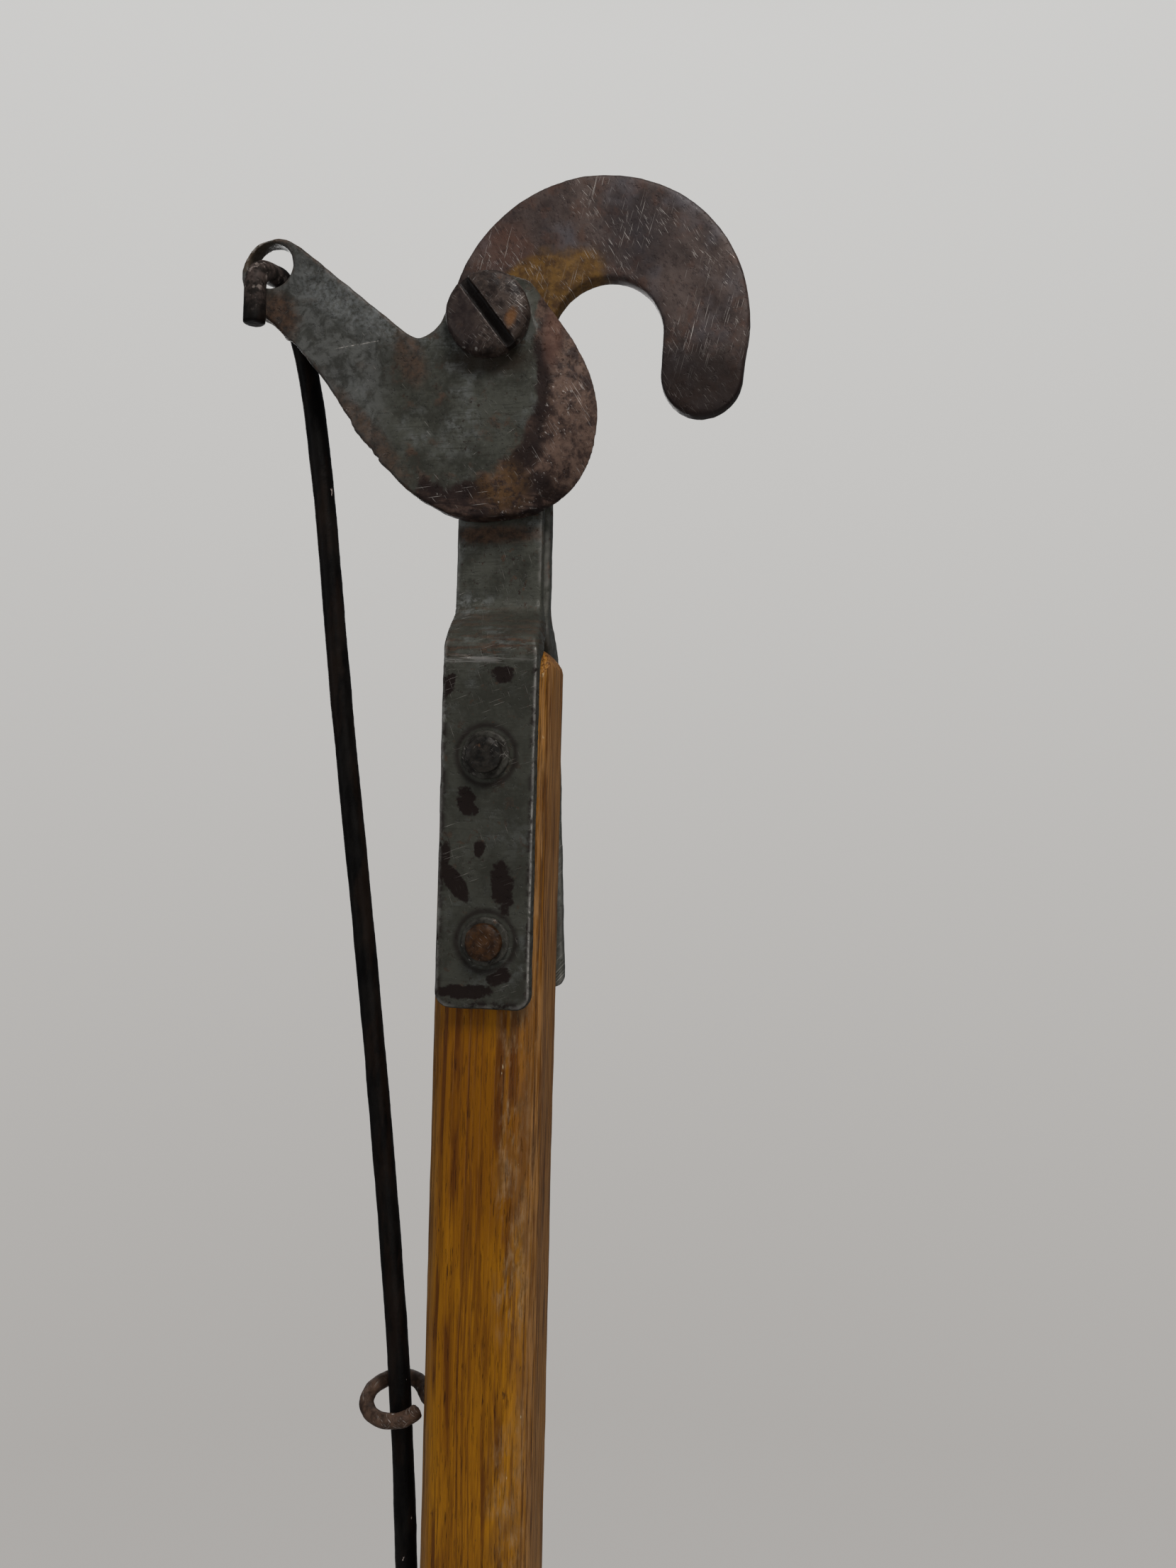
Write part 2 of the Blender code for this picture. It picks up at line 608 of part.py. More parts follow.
# ================================================================ rod and guide
def rod_course():
    """(x, y, z) points of the rod's centre line, from the tip of its top hook downwards."""
    h = pivot_height
    front_top = blade_front_y - rod_face_gap - rod_r
    r = rod_bend_r
    tip = Vector((rod_tip_x, front_top, h + rod_tip_rise))
    heel = Vector((rod_top_x, rod_y, h + rod_top_rise))
    through = (heel - tip).normalized() * r
    down = Vector((0.0, 0.0, -r))
    points = [tip + down * (rod_tip_drop / r), tip + down]
    points += bend(tip, tip + down, tip + through)[1:]
    points += bend(heel, heel - through, heel + down)
    side = flowing([(rod_top_x, h + rod_top_rise - r), (-61.4 * MM, h - 4.3 * MM),
                    (-55.4 * MM, h - 38.1 * MM), (-47.4 * MM, h - 104.9 * MM),
                    (-38.7 * MM, h - 171.0 * MM), (pole_side - 15.9 * MM, h - 235.9 * MM),
                    (pole_side - 10.4 * MM, h - 289.2 * MM), (pole_side - rod_nearest, h - 342.0 * MM),
                    (pole_side - rod_nearest, h - rod_nearest_drop), (pole_side - 9.6 * MM, h - 440.0 * MM),
                    (pole_side - 15.6 * MM, h - 500.0 * MM), (-43.0 * MM, h - 593.0 * MM)], 4)
    foot_x, foot_z = lever_eye
    foot_y = lever_back_y + rod_foot_gap + rod_r
    last = side[-1]
    start_z = h - rod_nearest_drop
    end = (foot_x, foot_z + r)
    for i in range(1, 7):
        t = i / 6
        side.append((last[0] + (end[0] - last[0]) * t, last[1] + (end[1] - last[1]) * t))
    for x, z in side[1:]:
        t = min(max((start_z - z) / (start_z - end[1]), 0.0), 1.0)
        points.append(Vector((x, rod_y + (foot_y - rod_y) * t * t * (2 - t), z)))
    front = lever_front_y - rod_face_gap - rod_r
    points += bend((foot_x, foot_y, foot_z), (foot_x, foot_y, foot_z + r), (foot_x, foot_y - r, foot_z))[1:]
    points += bend((foot_x, front, foot_z), (foot_x, front + r, foot_z), (foot_x, front, foot_z + r))
    points.append(Vector((foot_x, front, foot_z + rod_foot_tip)))
    return points


def build_rod(look):
    middle = (lever_front_y + lever_back_y) / 2
    wire("pull_rod", rod_course(), rod_r, look["dark"], (lever_eye[0], middle, lever_eye[1]))


def build_guide(look):
    """A screw eye: the wire comes out of the pole and turns once round the rod."""
    ring_r = guide_hole_r + guide_wire_r
    neck = ring_r + 3.2 * MM
    points = [(guide_stand + guide_shank, 0.0), (neck + 4 * MM, 0.0), (neck, 0.0)]
    points += [(ring_r + 1.7 * MM, 0.5 * MM), (ring_r + 0.4 * MM, 1.7 * MM)]
    points += arc((0, 0), ring_r, 25, 333, 36)
    place = Matrix.Translation((guide_x, rod_y, pivot_height - guide_drop))
    lie = Matrix.Rotation(guide_tilt, 4, 'X')
    course = [place @ lie @ Vector((u, v, 0.0)) for u, v in points]
    wire("rod_guide_eye", course, guide_wire_r, look["rusty"])


# ================================================================ hand lever
def grip_axes():
    """The grip's direction away from the bolt, and the direction across it, in (x, z)."""
    a = math.radians(270.0) - lever_grip_angle
    along = Vector((math.cos(a), math.sin(a)))
    return along, Vector((-along.y, along.x))


def beside_grip(distance, offset):
    along, across = grip_axes()
    spot = along * distance + across * offset
    return (spot.x, lever_z + spot.y)


def build_hand_lever(look):
    ex, ez = lever_eye
    arm_dir = 180.0 - math.degrees(lever_arm_angle)
    grip_dir = 270.0 - math.degrees(lever_grip_angle)
    hub = (0.0, lever_z)
    half = lever_grip_width / 2
    waist = half * 0.82
    elbow = (ex * 0.45, lever_z + (ez - lever_z) * 0.45 - 8.5 * MM)
    last = lever_grip_length - half
    outline = arc(hub, lever_boss_r, grip_dir + 75, 360 + arm_dir - 62, 22)
    outline += arc((ex, ez), lever_eye_r, arm_dir - 80, arm_dir + 80, 16)
    outline += flowing([elbow, beside_grip(24 * MM, -13.5 * MM), beside_grip(60 * MM, -waist),
                        beside_grip(scale_start, -half), beside_grip(last, -half)], 4)
    outline += arc(beside_grip(last, 0.0), half, grip_dir - 80, grip_dir + 80, 10)
    outline += flowing([beside_grip(last, half), beside_grip(scale_start, half),
                        beside_grip(60 * MM, waist), beside_grip(22 * MM, 12.5 * MM)], 4)
    bm = slab(outline, lambda x, z: lever_front_y, lambda x, z: lever_back_y, (), 1.4 * MM)
    middle = (lever_front_y + lever_back_y) / 2
    lever = make_object("hand_lever", bm, look["painted"], (0.0, middle, lever_z))
    cut(lever, drill(hub, bolt_r + gap, -40 * MM, 0, 32))
    cut(lever, drill((ex, ez), rod_r + lever_hole_play, -40 * MM, 0, 40))
    for distance in scale_rivets:
        cut(lever, drill(beside_grip(distance, 0.0), scale_rivet_r + gap, -40 * MM, 0, 24))


def build_grip_scales(look):
    """Two wooden scales riveted to the lower end of the hand lever."""
    half = lever_grip_width / 2 - 0.4 * MM
    grip_dir = 270.0 - math.degrees(lever_grip_angle)
    first = scale_start + half * 0.6
    last = lever_grip_length - half - 0.8 * MM
    middle = (lever_front_y + lever_back_y) / 2
    outline = arc(beside_grip(last, 0.0), half, grip_dir - 90, grip_dir + 90, 12)
    outline += arc(beside_grip(first, 0.0), half * 0.98, grip_dir + 120, grip_dir + 240, 8)
    pairs = (("grip_scale_front", lever_front_y - gap, -1), ("grip_scale_back", lever_back_y + gap, 1))
    for name, inner, side in pairs:
        outer = inner + side * scale_thickness
        front, back = min(inner, outer), max(inner, outer)
        bm = slab(outline, lambda x, z, y=front: y, lambda x, z, y=back: y)
        rim = [e for e in bm.edges if all(abs(v.co.y - outer) < 1e-6 for v in e.verts)]
        bmesh.ops.bevel(bm, geom=rim, offset=3.2 * MM, segments=3, profile=0.5, affect='EDGES',
                        clamp_overlap=True)
        scale = make_object(name, bm, look["wood"], (0.0, middle, lever_z))
        for distance in scale_rivets:
            cut(scale, drill(beside_grip(distance, 0.0), scale_rivet_r + gap, -60 * MM, 0, 24))
    near = lever_front_y - gap - scale_thickness - gap
    far = lever_back_y + gap + scale_thickness + gap
    for word, distance in zip(("upper", "lower"), scale_rivets):
        dome = scale_rivet_head_r
        profile = [(0, near - scale_rivet_head), (dome * 0.6, near - scale_rivet_head * 0.8),
                   (dome, near - 0.3 * MM), (dome, near), (scale_rivet_r, near), (scale_rivet_r, far),
                   (dome, far), (dome, far + 0.3 * MM), (dome * 0.6, far + scale_rivet_head * 0.8),
                   (0, far + scale_rivet_head)]
        spot = beside_grip(distance, 0.0)
        bm = turned(profile, spot, 24)
        make_object("grip_rivet_" + word, bm, look["dark"], (0.0, middle, lever_z))


def build_lever_bolt(look):
    centre = (0.0, lever_z)
    seat = lever_front_y - gap - washer_thickness - gap
    top = seat - bolt_head_height
    back = pole_depth / 2 + gap
    nut_near = back + washer_thickness + gap
    tail = nut_near + lever_nut_height + 2.5 * MM
    profile = [(0, top), (bolt_head_r * 0.5, top + 0.4 * MM), (bolt_head_r * 0.85, top + 1.6 * MM),
               (bolt_head_r, top + 3.6 * MM), (bolt_head_r, seat), (bolt_r, seat),
               (bolt_r, tail - 0.8 * MM), (bolt_r - 0.8 * MM, tail), (0, tail)]
    make_object("lever_bolt", turned(profile, centre, 44), look["rusty"])
    seats = (("lever_washer_front", seat + gap), ("lever_spacer", lever_back_y + gap),
             ("lever_washer_back", back))
    for name, near in seats:
        ring = [(bolt_r + gap, near), (washer_r, near), (washer_r, near + washer_thickness),
                (bolt_r + gap, near + washer_thickness)]
        make_object(name, turned(ring, centre, 40, closed=True), look["rusty"])
    nut, bore = square_nut(centre, lever_nut_width, bolt_r + gap, nut_near,
                           nut_near + lever_nut_height, math.radians(20))
    nut_ob = make_object("lever_nut", nut, look["rusty"])
    cut(nut_ob, bore)


def main():
    clear_scene()
    look = make_finishes()
    build_pole(look)
    build_hook_plate(look)
    build_back_strap(look)
    build_rivets(look)
    build_blade(look)
    build_pivot_screw(look)
    build_rod(look)
    build_guide(look)
    build_hand_lever(look)
    build_grip_scales(look)
    build_lever_bolt(look)


main()
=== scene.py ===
"""Rod-operated tree pruner: the looks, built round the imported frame.

+Z runs up the pole, +X is the side the hook opens to, and the front of the tool faces -Y.
"""
import json
import math

import bpy
from mathutils import Matrix, Vector


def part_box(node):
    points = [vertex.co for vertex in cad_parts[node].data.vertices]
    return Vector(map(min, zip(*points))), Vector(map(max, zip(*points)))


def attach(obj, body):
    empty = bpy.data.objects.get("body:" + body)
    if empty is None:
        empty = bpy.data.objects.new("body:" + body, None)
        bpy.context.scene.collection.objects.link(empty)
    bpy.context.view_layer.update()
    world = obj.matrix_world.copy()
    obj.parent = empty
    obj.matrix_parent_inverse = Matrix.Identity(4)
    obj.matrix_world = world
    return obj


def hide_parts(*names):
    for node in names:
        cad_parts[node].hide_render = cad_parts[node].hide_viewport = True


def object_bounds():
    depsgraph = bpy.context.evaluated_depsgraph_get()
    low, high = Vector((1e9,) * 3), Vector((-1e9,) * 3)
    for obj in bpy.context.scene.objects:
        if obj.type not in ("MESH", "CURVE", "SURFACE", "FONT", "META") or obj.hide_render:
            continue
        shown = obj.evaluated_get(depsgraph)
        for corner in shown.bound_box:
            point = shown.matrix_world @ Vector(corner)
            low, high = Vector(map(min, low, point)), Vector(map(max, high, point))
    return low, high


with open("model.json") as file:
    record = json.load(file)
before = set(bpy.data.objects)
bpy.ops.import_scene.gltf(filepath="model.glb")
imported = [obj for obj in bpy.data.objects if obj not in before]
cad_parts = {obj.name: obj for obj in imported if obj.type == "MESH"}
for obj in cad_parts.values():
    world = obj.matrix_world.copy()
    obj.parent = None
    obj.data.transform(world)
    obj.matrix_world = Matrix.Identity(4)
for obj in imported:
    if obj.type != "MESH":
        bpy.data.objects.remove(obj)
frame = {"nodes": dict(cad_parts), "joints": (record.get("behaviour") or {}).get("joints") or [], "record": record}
cad_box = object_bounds()
record = frame["record"]
joints = {j["name"]: j for j in frame["joints"]}
body_of = {n: body for body, members in record["behaviour"]["bodies"].items() for n in members}
pivot = Vector(joints["blade_pivot"]["pos_m"])
crank = Vector(joints["hand_lever_pivot"]["pos_m"])
MM = 0.001
UP = (0, 0, 1)

# ---------------------------------------------------------------- camera, floor and light
VIEW_TURN = math.radians(9.0)        # the tool is turned this much, showing its right side
VIEW_LEAN = math.radians(1.2)
VIEW_ROLL = 0.0237
VIEW_DISTANCE = 0.325
VIEW_DROP = 0.1257                   # the camera's height below the pivot, on the pole's axis
AXIS_SHIFT = -0.02386                # where the pole's axis passes, right of the view's middle
WALL_LOW = (0.420, 0.405, 0.390)
WALL_HIGH = (0.610, 0.605, 0.595)
GLOW = (0.93, 0.97, 1.0)
GLOW_STRENGTH = 0.13
FLOOR_TINT = (0.72, 0.715, 0.70)
FLOOR_SIZE = 2.3
WARM = (1.0, 0.985, 0.96)
COOL = (0.95, 0.97, 1.0)
NEUTRAL = (1.0, 0.99, 0.98)
HEAD = (0.0, 0.0, pivot.z - 0.1)
LAMPS = (                            # name, place, what it faces, size, watts, colour
    ("high soft light", (0.40, -0.70, pivot.z + 0.95), HEAD, 0.55, 18.5, WARM),
    ("left fill", (-1.2, -0.9, pivot.z + 0.1), HEAD, 0.9, 6.0, COOL),
    ("foot fill", (0.9, -1.3, 0.7), (0, 0, 0.4), 0.9, 7.0, WARM),
    ("back fill", (-0.6, 1.3, 1.4), (0, 0, 0.8), 1.0, 9.0, NEUTRAL),
)


def set_camera():
    up = Vector((VIEW_ROLL, 1.0, -math.sin(VIEW_LEAN))).normalized()
    side = Vector((math.cos(VIEW_TURN), 0.0, math.sin(VIEW_TURN)))
    side = (side - up * side.dot(up)).normalized()
    deep = up.cross(side)
    turn = Matrix((side, deep, up))
    aim = Vector((AXIS_SHIFT, 0.0, -VIEW_DISTANCE))
    data = bpy.data.cameras.new("camera")
    data.sensor_width = 36.0
    data.lens = 27.0
    data.clip_start = 0.01
    camera = bpy.data.objects.new("camera", data)
    place = turn @ -aim
    camera.matrix_world = Matrix.Translation(place + Vector((0, 0,
                                                             pivot.z - VIEW_DROP))) @ turn.to_4x4()
    bpy.context.scene.collection.objects.link(camera)
    bpy.context.scene.camera = camera


def set_light(name, place, aim, size, power, colour):
    data = bpy.data.lights.new(name, "AREA")
    data.shape = "DISK"
    data.size = size
    data.energy = power
    data.color = colour
    lamp = bpy.data.objects.new(name, data)
    lamp.location = place
    lamp.rotation_euler = (Vector(place) - Vector(aim)).to_track_quat("Z", "Y").to_euler()
    bpy.context.scene.collection.objects.link(lamp)


def set_wall_and_glow():
    """A pale wall that only the camera sees, darker towards the bottom as painted shade, and a weak even glow that
    lights the tool.
    """
    world = bpy.data.worlds.new("studio")
    bpy.context.scene.world = world
    world.use_nodes = True
    tree = world.node_tree
    tree.nodes.clear()
    out = tree.nodes.new("ShaderNodeOutputWorld")
    both = tree.nodes.new("ShaderNodeMixShader")
    wall = tree.nodes.new("ShaderNodeBackground")
    glow = tree.nodes.new("ShaderNodeBackground")
    path = tree.nodes.new("ShaderNodeLightPath")
    where = tree.nodes.new("ShaderNodeTexCoord")
    parts = tree.nodes.new("ShaderNodeSeparateXYZ")
    fade = tree.nodes.new("ShaderNodeMapRange")
    shade = tree.nodes.new("ShaderNodeMix")
    shade.data_type = "RGBA"
    # painted shade: the wall runs from WALL_LOW at the bottom to WALL_HIGH at the top, as light falling off
    # downwards
    tree.links.new(where.outputs["Generated"], parts.inputs[0])
    tree.links.new(parts.outputs["Z"], fade.inputs["Value"])
    fade.inputs["From Min"].default_value = -0.45
    fade.inputs["From Max"].default_value = 0.55
    tree.links.new(fade.outputs["Result"], shade.inputs["Factor"])
    low, high = (socket for socket in shade.inputs if socket.type == "RGBA")
    low.default_value = (*WALL_LOW, 1.0)
    high.default_value = (*WALL_HIGH, 1.0)
    mixed = next(socket for socket in shade.outputs if socket.type == "RGBA")
    tree.links.new(mixed, wall.inputs["Color"])
    glow.inputs["Color"].default_value = (*GLOW, 1.0)
    glow.inputs["Strength"].default_value = GLOW_STRENGTH
    tree.links.new(path.outputs["Is Camera Ray"], both.inputs[0])
    tree.links.new(glow.outputs[0], both.inputs[1])
    tree.links.new(wall.outputs[0], both.inputs[2])
    tree.links.new(both.outputs[0], out.inputs["Surface"])


def set_floor():
    bpy.ops.mesh.primitive_plane_add(size=FLOOR_SIZE, location=(0.0, 0.0, cad_box[0].z))
    floor = bpy.context.object
    floor.name = "floor"
    pale = bpy.data.materials.new("pale floor")
    pale.use_nodes = True
    shader = pale.node_tree.nodes["Principled BSDF"]
    shader.inputs["Base Color"].default_value = (*FLOOR_TINT, 1.0)
    shader.inputs["Roughness"].default_value = 0.85
    floor.data.materials.append(pale)


def set_studio():
    set_wall_and_glow()
    for name, place, aim, size, power, colour in LAMPS:
        set_light(name, place, aim, size, power, colour)
    set_floor()
    bpy.context.scene.view_settings.view_transform = "Standard"


# ---------------------------------------------------------------- finishes
class Finish:
    """One finish. Places on it are in millimetres from `origin`, in the tool's own directions."""

    def __init__(self, name, origin):
        self.material = bpy.data.materials.new(name)
        self.material.use_nodes = True
        self.tree = self.material.node_tree
        self.shader = self.tree.nodes["Principled BSDF"]
        self.coords = self.add("ShaderNodeTexCoord")
        self.spot = self.vector("SUBTRACT", self.coords.outputs["Object"], tuple(origin))
        self.spot = self.vector("MULTIPLY", self.spot, (1000.0, 1000.0, 1000.0))
        self.count = 0

    def add(self, kind, **settings):
        node = self.tree.nodes.new(kind)
        for name, value in settings.items():
            setattr(node, name, value)
        return node

    def feed(self, socket, value):
        if isinstance(value, bpy.types.NodeSocket):
            self.tree.links.new(value, socket)
        elif isinstance(value, tuple) and len(value) == 3 and len(socket.default_value) == 4:
            socket.default_value = (*value, 1.0)
        else:
            socket.default_value = value

    def vector(self, operation, first, second):
        node = self.add("ShaderNodeVectorMath", operation=operation)
        self.feed(node.inputs[0], first)
        self.feed(node.inputs[1], second)
        return node.outputs["Value" if operation in ("LENGTH", "DOT_PRODUCT") else "Vector"]

    def sum(self, operation, first, second=0.0, third=None):
        node = self.add("ShaderNodeMath", operation=operation)
        self.feed(node.inputs[0], first)
        self.feed(node.inputs[1], second)
        if third is not None:
            self.feed(node.inputs[2], third)
        return node.outputs[0]

    def all_of(self, *masks):
        result = masks[0]
        for mask in masks[1:]:
            result = self.sum("MULTIPLY", result, mask)
        return result

    def any_of(self, *masks):
        result = masks[0]
        for mask in masks[1:]:
            result = self.sum("MAXIMUM", result, mask)
        return result

    def less(self, mask):
        return self.sum("SUBTRACT", 1.0, mask)

    def span(self, value, low, high, start=0.0, end=1.0):
        """`value` from low..high, eased, onto start..end."""
        node = self.add("ShaderNodeMapRange", interpolation_type="SMOOTHSTEP")
        for socket, given in zip(node.inputs, (value, low, high, start, end)):
            self.feed(socket, given)
        return node.outputs[0]

    def mix(self, share, first, second, how="MIX"):
        node = self.add("ShaderNodeMix", data_type="RGBA", blend_type=how)
        self.feed(node.inputs["Factor"], share)
        colours = [s for s in node.inputs if s.type == "RGBA"]
        self.feed(colours[0], first)
        self.feed(colours[1], second)
        return [s for s in node.outputs if s.type == "RGBA"][0]

    def cover(self, colour, tint, mask, share):
        """`tint` over `colour`, this strongly where the mask is full."""
        return self.mix(self.sum("MULTIPLY", mask, share), colour, tint)

    def laid(self, size, stretch=(1, 1, 1), turn=0.0):
        """The place, for a pattern this large, stretched along x, y, z and turned as seen in front."""
        self.count += 1
        node = self.add("ShaderNodeMapping")
        self.feed(node.inputs["Vector"], self.spot)
        if turn:
            node.inputs["Rotation"].default_value = (0.0, math.radians(-turn), 0.0)
            first = node
            node = self.add("ShaderNodeMapping")
            self.feed(node.inputs["Vector"], first.outputs[0])
        node.inputs["Scale"].default_value = tuple(1.0 / (size * s) for s in stretch)
        node.inputs["Location"].default_value = (3.7 * self.count, 1.9 * self.count,
                                                 2.3 * self.count)
        return node.outputs[0]

    def noise(self, size, detail=4.0, rough=0.55, warp=0.0, stretch=(1, 1, 1), turn=0.0):
        node = self.add("ShaderNodeTexNoise")
        self.feed(node.inputs["Vector"], self.laid(size, stretch, turn))
        node.inputs["Scale"].default_value = 1.0
        node.inputs["Detail"].default_value = detail
        node.inputs["Roughness"].default_value = rough
        node.inputs["Distortion"].default_value = warp
        return node.outputs["Fac"]

    def facing(self, index):
        """How far the surface faces along one of the tool's own directions."""
        node = self.add("ShaderNodeSeparateXYZ")
        self.feed(node.inputs[0], self.coords.outputs["Normal"])
        return node.outputs[index]

    def axis(self, index):
        node = self.add("ShaderNodeSeparateXYZ")
        self.feed(node.inputs[0], self.spot)
        return node.outputs[index]

    def patch(self, centre, reach, turn=0.0, soft=0.4, ragged=0.35, grain=5.0):
        """A ragged patch: 1 within `reach` (half sizes in x and z) of `centre` (x, z)."""
        move = self.vector("SUBTRACT", self.spot, (centre[0], 0.0, centre[1]))
        spin = self.add("ShaderNodeMapping")
        self.feed(spin.inputs["Vector"], move)
        spin.inputs["Rotation"].default_value = (0.0, math.radians(turn), 0.0)
        flat = self.vector("MULTIPLY", spin.outputs[0], (1.0 / reach[0], 0.0, 1.0 / reach[1]))
        far = self.vector("LENGTH", flat, (0, 0, 0))
        if ragged:
            wander = self.sum("MULTIPLY_ADD", self.noise(grain, 5.0, 0.6), 2.0 * ragged, -ragged)
            far = self.sum("ADD", far, wander)
        return self.span(far, 1.0 - soft, 1.0 + soft, 1.0, 0.0)

    def scratches(self, turn, length, width, share, cluster=14.0):
        """Fine lines along one direction in the front plane, gathered in clusters."""
        lines = self.noise(1.0, 1.0, 0.5, 0.1, (width, 40.0, length), turn)
        where = self.span(self.noise(cluster, 2.0, 0.5), 0.44, 0.60)
        top = 0.74 - share
        return self.all_of(self.span(lines, top, top + 0.05), where)

    def worn(self, low=0.52, high=0.60):
        """Edges and high spots, where a finish rubs away first."""
        shape = self.add("ShaderNodeNewGeometry")
        return self.span(shape.outputs["Pointiness"], low, high)

    def done(self, colour, roughness, metallic, heights, **fixed):
        fixed.setdefault("Specular_IOR_Level", 0.12)
        self.feed(self.shader.inputs["Base Color"], colour)
        self.feed(self.shader.inputs["Roughness"], roughness)
        self.feed(self.shader.inputs["Metallic"], metallic)
        normal = None
        for height, depth in heights:
            bump = self.add("ShaderNodeBump")
            bump.inputs["Strength"].default_value = 1.0
            bump.inputs["Distance"].default_value = depth * MM
            self.feed(bump.inputs["Height"], height)
            if normal is not None:
                self.feed(bump.inputs["Normal"], normal)
            normal = bump.outputs[0]
        if normal is not None:
            self.feed(self.shader.inputs["Normal"], normal)
        for name, value in fixed.items():
            self.shader.inputs[name.replace("_", " ")].default_value = value
        return self.material


# colours, as linear red, green and blue
PAINT = (0.044, 0.044, 0.036)
PAINT_LIGHT = (0.090, 0.093, 0.089)
PAINT_DARK = (0.021, 0.0205, 0.016)
ARM_DARK = (0.024, 0.0235, 0.022)
ARM_LIGHT = (0.078, 0.0785, 0.076)
ARM_PAINTED_SHEEN = (0.125, 0.133, 0.135)
RUST = (0.060, 0.031, 0.018)
RUST_DARK = (0.014, 0.008, 0.006)
EYE_RUST = (0.034, 0.020, 0.008)
PAINTED_SCREW_SHADOW = (0.012, 0.007, 0.004)
BARE = (0.46, 0.42, 0.39)
RUBBED = (0.30, 0.285, 0.265)
SCAR = (0.0055, 0.0024, 0.0018)
RIM_DARK = (0.020, 0.011, 0.009)
RIM_LIGHT = (0.082, 0.050, 0.037)
RIM_SOOT = (0.0085, 0.0042, 0.0036)
RIM_STAIN = (0.092, 0.046, 0.015)
RIM_RED = (0.072, 0.030, 0.019)
PATINA_DARK = (0.013, 0.008, 0.008)
HOOK_DARK = (0.024, 0.016, 0.0145)
HOOK_LIGHT = (0.066, 0.047, 0.041)
HOOK_RED = (0.058, 0.029, 0.020)
HOOK_BLUED = (0.068, 0.062, 0.068)
SEAT_RUST = (0.060, 0.026, 0.017)
OCHRE_DARK = (0.046, 0.022, 0.007)
OCHRE = (0.118, 0.060, 0.013)
TIP_SOOT = (0.0085, 0.0045, 0.0035)
SMUDGE = (0.014, 0.011, 0.013)
SCREW_STAIN = (0.120, 0.052, 0.018)
SLOT_DARK = (0.0045, 0.0028, 0.0022)
ROD_BLACK = (0.0020, 0.0018, 0.0018)
ROD_GREY = (0.0055, 0.0048, 0.0044)
ROD_BROWN = (0.016, 0.009, 0.006)
CROWN_DARK = (0.010, 0.008, 0.007)
CROWN_LIGHT = (0.046, 0.034, 0.030)
ROD_BARE = (0.34, 0.28, 0.25)
WOOD_DEEP = (0.160, 0.058, 0.0020)
WOOD_GOLD = (0.285, 0.118, 0.0040)
FIBRE = (0.115, 0.038, 0.003)
GROWTH_LINE = (0.060, 0.017, 0.003)
PORE = (0.040, 0.012, 0.003)
FLANK_DARK = (0.095, 0.037, 0.011)
FLANK_LIGHT = (0.350, 0.185, 0.070)
SHAKE = (0.045, 0.017, 0.006)
WORN_DARK = (0.080, 0.046, 0.020)
WORN_LIGHT = (0.255, 0.165, 0.088)
CORNER_SHADE = (0.075, 0.030, 0.010)
NICK = (0.62, 0.55, 0.36)
FLECK = (0.030, 0.012, 0.006)

SLOT_TURN = -52.7       # the screw's slot, degrees anticlockwise from level
# bare scars in the strap's paint: middle and half size (x, z in mm from the pivot), turn in degrees
STRAP_SCARS = (
    ((-3.5, -151.5), (7.5, 2.2), -52),
    ((9.4, -153.0), (2.6, 6.5), 8),
    ((-6.0, -100.5), (1.4, 3.6), -20),
    ((8.4, -97.5), (3.0, 2.2), 0),
    ((-0.5, -131.0), (2.6, 4.4), 20),
    ((3.0, -143.0), (1.4, 2.4), 0),
    ((-1.0, -180.2), (8.5, 1.8), 3),
    ((9.2, -176.0), (3.4, 2.0), 30),
    ((-6.6, -146.0), (1.6, 6.0), -8),
)
# the lever arm's battered lower edge, from near the eye to the blade's heel
BATTERED_EDGE = ((-62.0, -3.0), (-33.0, -39.6))


def paint_layers(f):
    """Old grey-green paint over forged iron: the colour of the plain parts, and the fine noise that also serves
    for their height.
    """
    fine = f.noise(1.1, 6.0, 0.65)
    cloud = f.span(f.sum("MULTIPLY_ADD", fine, 0.4, f.noise(9.0, 6.0, 0.62)), 0.52, 0.84)
    colour = f.mix(cloud, PAINT_DARK, PAINT)
    light = f.all_of(f.span(f.noise(16.0, 4.0, 0.55), 0.48, 0.70),
                     f.span(f.noise(2.6, 6.0, 0.7), 0.40, 0.62))
    colour = f.mix(light, colour, PAINT_LIGHT)
    streak = f.span(f.noise(1.0, 3.0, 0.6, 0.3, (7.0, 6.0, 0.6)), 0.52, 0.66, 0.0, 0.55)
    colour = f.mix(streak, colour, PAINT_DARK)
    pocks = f.all_of(f.span(f.noise(1.5, 5.0, 0.65), 0.60, 0.66),
                     f.span(f.noise(12.0, 2.0, 0.5), 0.42, 0.58))
    colour = f.cover(colour, RUST_DARK, pocks, 0.8)
    return colour, fine


def rust_over(f, colour, mask):
    """Mottled rust over the colour where the mask says."""
    tone = f.span(f.noise(2.4, 6.0, 0.7), 0.35, 0.65)
    rust = f.mix(tone, RUST_DARK, RUST)
    return f.cover(colour, rust, mask, 0.82)


def make_back_paint():
    """The same paint on the rear strap and the hand lever, with fewer marks."""
    f = Finish("worn lever paint", pivot)
    colour, fine = paint_layers(f)
    chips = f.span(f.noise(4.2, 6.0, 0.62, 0.4), 0.58, 0.63)
    worn = f.all_of(f.worn(0.51, 0.56), f.span(f.noise(5.0, 5.0, 0.6), 0.36, 0.56))
    rust = f.any_of(chips, f.span(f.noise(20.0, 4.0, 0.6), 0.56, 0.70, 0.0, 0.8))
    colour = rust_over(f, colour, rust)
    colour = f.cover(colour, RUBBED, worn, 0.35)
    scratch = f.scratches(40, 12.0, 0.18, 0.10)
    colour = f.cover(colour, BARE, scratch, 0.4)
    rough = f.span(rust, 0.0, 1.0, 0.42, 0.8)
    metal = f.sum("MULTIPLY", worn, 0.3)
    return f.done(colour, rough, metal, [(f.noise(6.0, 3.0, 0.5), 0.35), (fine, 0.1)])


